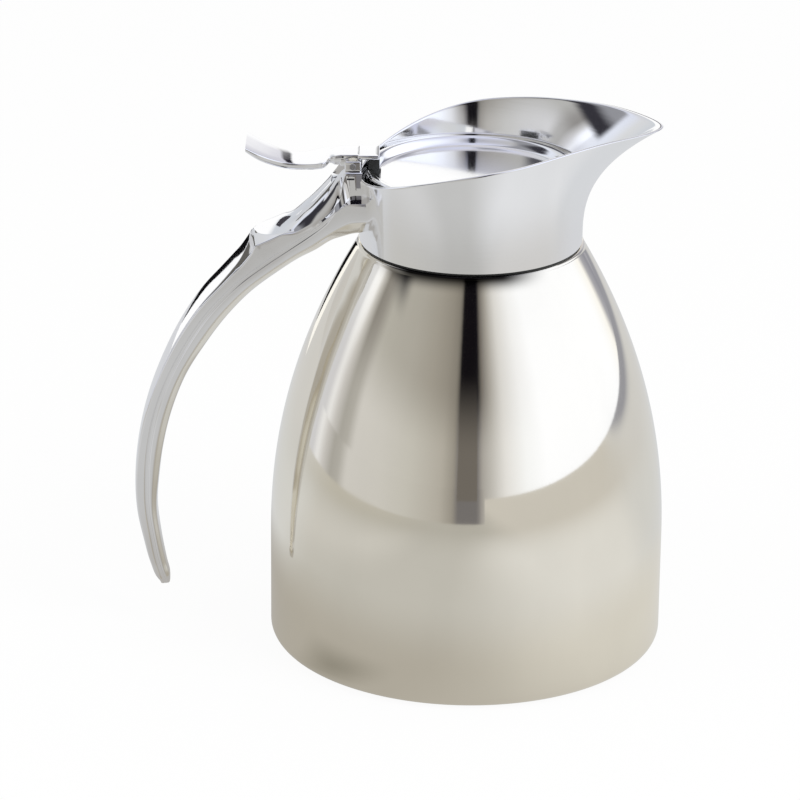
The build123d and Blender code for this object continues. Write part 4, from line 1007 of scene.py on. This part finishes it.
HIGH_WALL = [
    (-180, (255, 255, 255)), (-166, (255, 255, 255)), (-163, (204, 208, 214)),
    (-104, (225, 224, 222)),
    (-102, (252, 251, 249)), (-96, (246, 244, 240)), (-92, (200, 196, 188)),
    (-86, (138, 133, 124)), (-80, (150, 145, 136)), (-72, (178, 174, 163)),
    (-45, (171, 166, 155)), (-28, (160, 154, 142)), (-16, (147, 141, 129)),
    (-9, (132, 126, 115)), (-6, (16, 14, 19)), (6, (18, 16, 21)),
    (8, (110, 104, 96)), (14, (168, 163, 154)), (22, (218, 215, 209)),
    (35, (243, 242, 240)), (48, (254, 254, 254)),
    (127, (255, 255, 255)), (133, (140, 141, 154)), (143, (120, 122, 136)),
    (154, (206, 206, 214)), (173.5, (210, 209, 217)),
    (174.2, (50, 46, 54)), (177.2, (36, 34, 42)), (177.6, (255, 255, 255)),
    (180, (255, 255, 255))]


def surround(name, radius=2.4, azimuths=(-180, 180), elevations=(-1, 90)):
    """Stage dome: part of a sphere, point (az, el) at radius (cos el sin az, -cos el cos az,
    sin el), whose UV holds azimuth and elevation."""
    az = np.radians(np.linspace(*azimuths, 181))[:, None]
    el = np.radians(np.linspace(*elevations, 47))[None, :]
    points = np.stack([radius * np.cos(el) * np.sin(az), -radius * np.cos(el) * np.cos(az),
                       radius * np.sin(el) + 0 * az], -1) / MM
    piece = write_mesh(name, [(points.reshape(-1, 3), [grid_faces(181, 47, False, False)])])
    uv = np.stack(np.broadcast_arrays(np.degrees(az) / 360 + 0.5, np.degrees(el) / 90), -1)
    loops = np.empty(len(piece.data.loops), np.int32)
    piece.data.loops.foreach_get("vertex_index", loops)
    layer = piece.data.uv_layers.new(name="around")
    layer.data.foreach_set("uv", uv.reshape(-1, 2)[loops].astype(np.float32).ravel())
    return piece


def room_light():
    """Emission of the dome: grey wall, white panel and dark gaps by azimuth, darker upwards,
    with a dark opening high on the left."""
    f = Finish("studio_room")
    split = f.node("SeparateXYZ", Vector=f.node("TexCoord").outputs["UV"])
    turn, height = f.read(split, "X"), f.read(split, "Y") * 90.0
    low, high = (f.node("ValToRGB", {"stops": [((a + 180) / 360, screen(*c)) for a, c in wall]},
                        Fac=turn).outputs[0] for wall in (LOW_WALL, HIGH_WALL))
    walls = blend_colours(f, height.band(9.0, 24.0), low, high)
    lit = blend_colours(f, height.band(40.0, 70.0), walls, screen(206, 205, 213))
    left = turn.band(0.18, 0.205) * (1.0 - turn.band(0.3, 0.34))
    gap = blend_colours(f, height.band(39.0, 47.0), screen(50, 48, 51), screen(142, 140, 138))
    lit = blend_colours(f, left * height.band(27.0, 34.0), lit, gap)
    from_front = (turn - 0.5) * (turn - 0.5)
    cast = blend_colours(f, from_front.band(0.10, 0.14), (1.09, 1.14, 1.28), (1.05, 1.05, 1.05))
    return f.glow(f.vectors("MULTIPLY", lit, cast).outputs[0])


def floor_finish(tones):
    """Pale floor: white to the eye with a faint soft shadow, warm pale grey in metal, where painted
    shade and a painted contact shadow darken it near the object.
    """
    f = Finish("pale_floor")
    rays = f.node("LightPath")
    reach = f.read(f.vectors("LENGTH", f.here()), "Value")
    grain = f.noise(420.0, 3.0)
    aside, behind, _ = f.axes()
    lit = blend_colours(f, aside.band(-0.03, 0.11), tones.floor, screen(228, 229, 231))
    lit = blend_colours(f, aside.band(-0.1, -0.2), lit, screen(210, 210, 210))
    lit = blend_colours(f, behind.band(-0.02, 0.06), lit, screen(216, 218, 221))
    # painted shade: in metal the floor close to the object is darker, more so on the left
    near = blend_colours(f, aside.band(-0.03, 0.08), screen(181, 178, 173), screen(220, 219, 216))
    near = blend_colours(f, reach.band(0.08, 0.13), near, lit)
    # painted contact shadow: a darker ring segment of floor just beyond the foot at the front left,
    # seen in metal
    painted_contact_shadow = (1.0 - reach.band(0.066, 0.084)) * aside.band(-0.03, -0.055)
    painted_contact_shadow = painted_contact_shadow * behind.band(-0.02, -0.045)
    near = blend_colours(f, painted_contact_shadow, near, screen(150, 147, 140))
    far = blend_colours(f, aside.band(0.03, 0.2), screen(184, 183, 180), screen(208, 206, 203))
    far = blend_colours(f, aside.band(-0.1, -0.5), far, screen(196, 194, 188))
    far = blend_colours(f, behind.band(-0.1, 0.25), far, screen(214, 215, 218))
    corner = reach.band(0.6, 1.2) * aside.band(0.2, 0.6) * behind.band(0.1, 0.5)
    far = blend_colours(f, corner, far, screen(158, 160, 172))
    far = blend_colours(f, reach.band(0.2, 0.42), near, far)
    seen = f.read(rays, "Is Camera Ray") + f.read(rays, "Is Transmission Ray")
    matt = f.node("BsdfDiffuse", Color=blend_colours(f, grain, screen(250, 250, 249),
                                                     screen(246, 246, 245)))
    white = f.node("Emission", Color=(1.0, 1.0, 1.0), Strength=1.0)
    table = f.node("Emission", Color=far, Strength=1.0)
    in_metal = f.shaders(f.read(rays, "Is Glossy Ray"), matt, table)
    f.show(f.shaders(seen, in_metal, f.shaders(0.93, matt, white)))
    return f.material


def aim(place, target):
    """Rotation that looks from place to target."""
    return (Vector(target) - Vector(place)).to_track_quat("-Z", "Y")


def lamp(name, place, target, size, watts):
    """Soft square lamp."""
    light = bpy.data.lights.new(name, "AREA")
    light.size = size
    light.energy = watts
    holder = bpy.data.objects.new(name, light)
    holder.location = place
    holder.rotation_mode = "QUATERNION"
    holder.rotation_quaternion = aim(place, target)
    holder.visible_glossy = False
    bpy.context.scene.collection.objects.link(holder)


def world_light(name):
    """World that is white to the eye and in metal, and dimmer as light on matt pieces."""
    world = bpy.data.worlds.new(name)
    world.use_nodes = True
    f = Finish(tree=world.node_tree)
    rays = f.node("LightPath")
    shown = (f.read(rays, "Is Camera Ray") + f.read(rays, "Is Glossy Ray")
             + f.read(rays, "Is Transmission Ray"))
    sky = f.node("Background", Color=(1.0, 1.0, 1.0), Strength=0.72 + 0.28 * shown)
    f.show(sky, "OutputWorld")
    return world


PICTURE, FOCAL = 800, 4211.1          # pixels: the picture's side and the focal length
AXIS_PIXEL = (468.06, 403.49)         # where the body's axis at AXIS_HEIGHT is seen
AXIS_HEIGHT, CAMERA_FAR = 0.070, 1.2  # metres
PITCH, ROLL = 21.374, 0.568           # degrees that the camera looks down and leans
SENSOR = 36.0


def camera_at(name):
    """Camera that looks down from the front, shifted so that the axis falls on its pixel."""
    data = bpy.data.cameras.new(name)
    data.sensor_width = SENSOR
    data.lens = FOCAL * SENSOR / PICTURE
    camera = bpy.data.objects.new(name, data)
    bpy.context.scene.collection.objects.link(camera)
    pitch, roll = math.radians(PITCH), math.radians(ROLL)
    ahead = Vector((0, math.cos(pitch), -math.sin(pitch)))
    level, upright = Vector((1, 0, 0)), Vector((0, math.sin(pitch), math.cos(pitch)))
    right = math.cos(roll) * level + math.sin(roll) * upright
    up = -math.sin(roll) * level + math.cos(roll) * upright
    aside, below = ((pixel - PICTURE / 2) / FOCAL for pixel in AXIS_PIXEL)
    place = Vector((0, 0, AXIS_HEIGHT)) - CAMERA_FAR * (ahead + aside * right - below * up)
    turn = Matrix((right, up, -ahead)).transposed().to_4x4()
    camera.matrix_world = Matrix.Translation(place) @ turn
    return camera


class CARAFE_OT_stage(bpy.types.Operator):
    """Make the floor, the studio round the object, the lamps and the camera"""
    bl_idname = "carafe.stage"
    bl_label = "Stage"

    def execute(self, context):
        scene = context.scene
        span = np.linspace(-4000, 4000, 41)
        gx, gy = np.meshgrid(span, span, indexing="ij")
        points = np.stack([gx, gy, 0 * gx], -1).reshape(-1, 3)
        faces = grid_faces(41, 41, False, False)[:, ::-1]
        floor = write_mesh("floor", [(points, [faces])])
        floor.data.materials.append(floor_finish(scene.carafe_colours))
        room = room_light()
        for part in (surround("studio_surround"),
                     surround("studio_near_wall", 0.51, (-120, 9), (-1, 8))):
            part.data.materials.append(room)
            only_in_metal(part)
        card("dark_card", (-164, -153.1), 477.0, (0.0, 75.0), screen(14, 13, 15))
        card("white_card", (-152.9, -145), 477.0, (0.0, 150.0), screen(255, 255, 255), 1.05)
        card("far_gap", (-164.2, -160.4), 2300.0, (290.0, 1300.0), screen(66, 64, 70))
        card("front_strip", (-6.2, 4.6), 300.0, (54.0, 700.0), screen(114, 110, 107), 1.0,
             screen(18, 16, 21), (0.105, 0.215))
        card("back_left_gap", (-141, -119), 2200.0, (490.0, 1270.0), screen(98, 96, 92))
        # painted reflection: left_gap is a dark card seen only in metal, which darkens and widens
        # the band where the handle is reflected on the body's left side
        card("left_gap", (-120, -112), 2200.0, (-100.0, 560.0), screen(112, 110, 106))
        scene.world = world_light("soft_studio")
        lamp("key_lamp", (0.9, -0.7, 1.1), (0, 0, 0.08), 0.8, 9.0)
        lamp("fill_lamp", (-1.0, -0.6, 0.9), (0, 0, 0.08), 0.9, 4.0)
        scene.camera = camera_at("camera")
        scene.view_settings.view_transform = "Standard"
        return {"FINISHED"}


class CARAFE_PT_panel(bpy.types.Panel):
    """Sizes, colours and steps of the carafe"""
    bl_label = "Thermal carafe"
    bl_idname = "CARAFE_PT_panel"
    bl_space_type = "VIEW_3D"
    bl_region_type = "UI"
    bl_category = "Carafe"

    def draw(self, context):
        scene = context.scene
        for group in (scene.carafe_body, scene.carafe_collar, scene.carafe_hinge,
                      scene.carafe_colours):
            box = self.layout.box()
            for name in group.__annotations__:
                box.prop(group, name)
        for step in STEPS:
            self.layout.operator(step.bl_idname)


GROUPS = {"carafe_body": BodySizes, "carafe_collar": CollarSizes, "carafe_hinge": HingeSizes,
          "carafe_colours": Colours}
STEPS = (CARAFE_OT_stage, CARAFE_OT_body, CARAFE_OT_collar, CARAFE_OT_lid, CARAFE_OT_handle,
         CARAFE_OT_lever, CARAFE_OT_fittings)


def register():
    """Register the classes and hang the sizes on the scene."""
    for made in (*GROUPS.values(), *STEPS, CARAFE_PT_panel):
        bpy.utils.register_class(made)
    for name, group in GROUPS.items():
        setattr(bpy.types.Scene, name, bpy.props.PointerProperty(type=group))


def unregister():
    """Undo register."""
    for name in GROUPS:
        delattr(bpy.types.Scene, name)
    for made in (CARAFE_PT_panel, *reversed(STEPS), *GROUPS.values()):
        bpy.utils.unregister_class(made)


def main():
    """Register, hang the sizes on the scene, and run every step in order."""
    register()
    bpy.ops.carafe.stage()
    bpy.ops.carafe.body()
    bpy.ops.carafe.collar()
    bpy.ops.carafe.lid()
    bpy.ops.carafe.handle()
    bpy.ops.carafe.lever()
    bpy.ops.carafe.fittings()


if __name__ == "__main__":
    main()
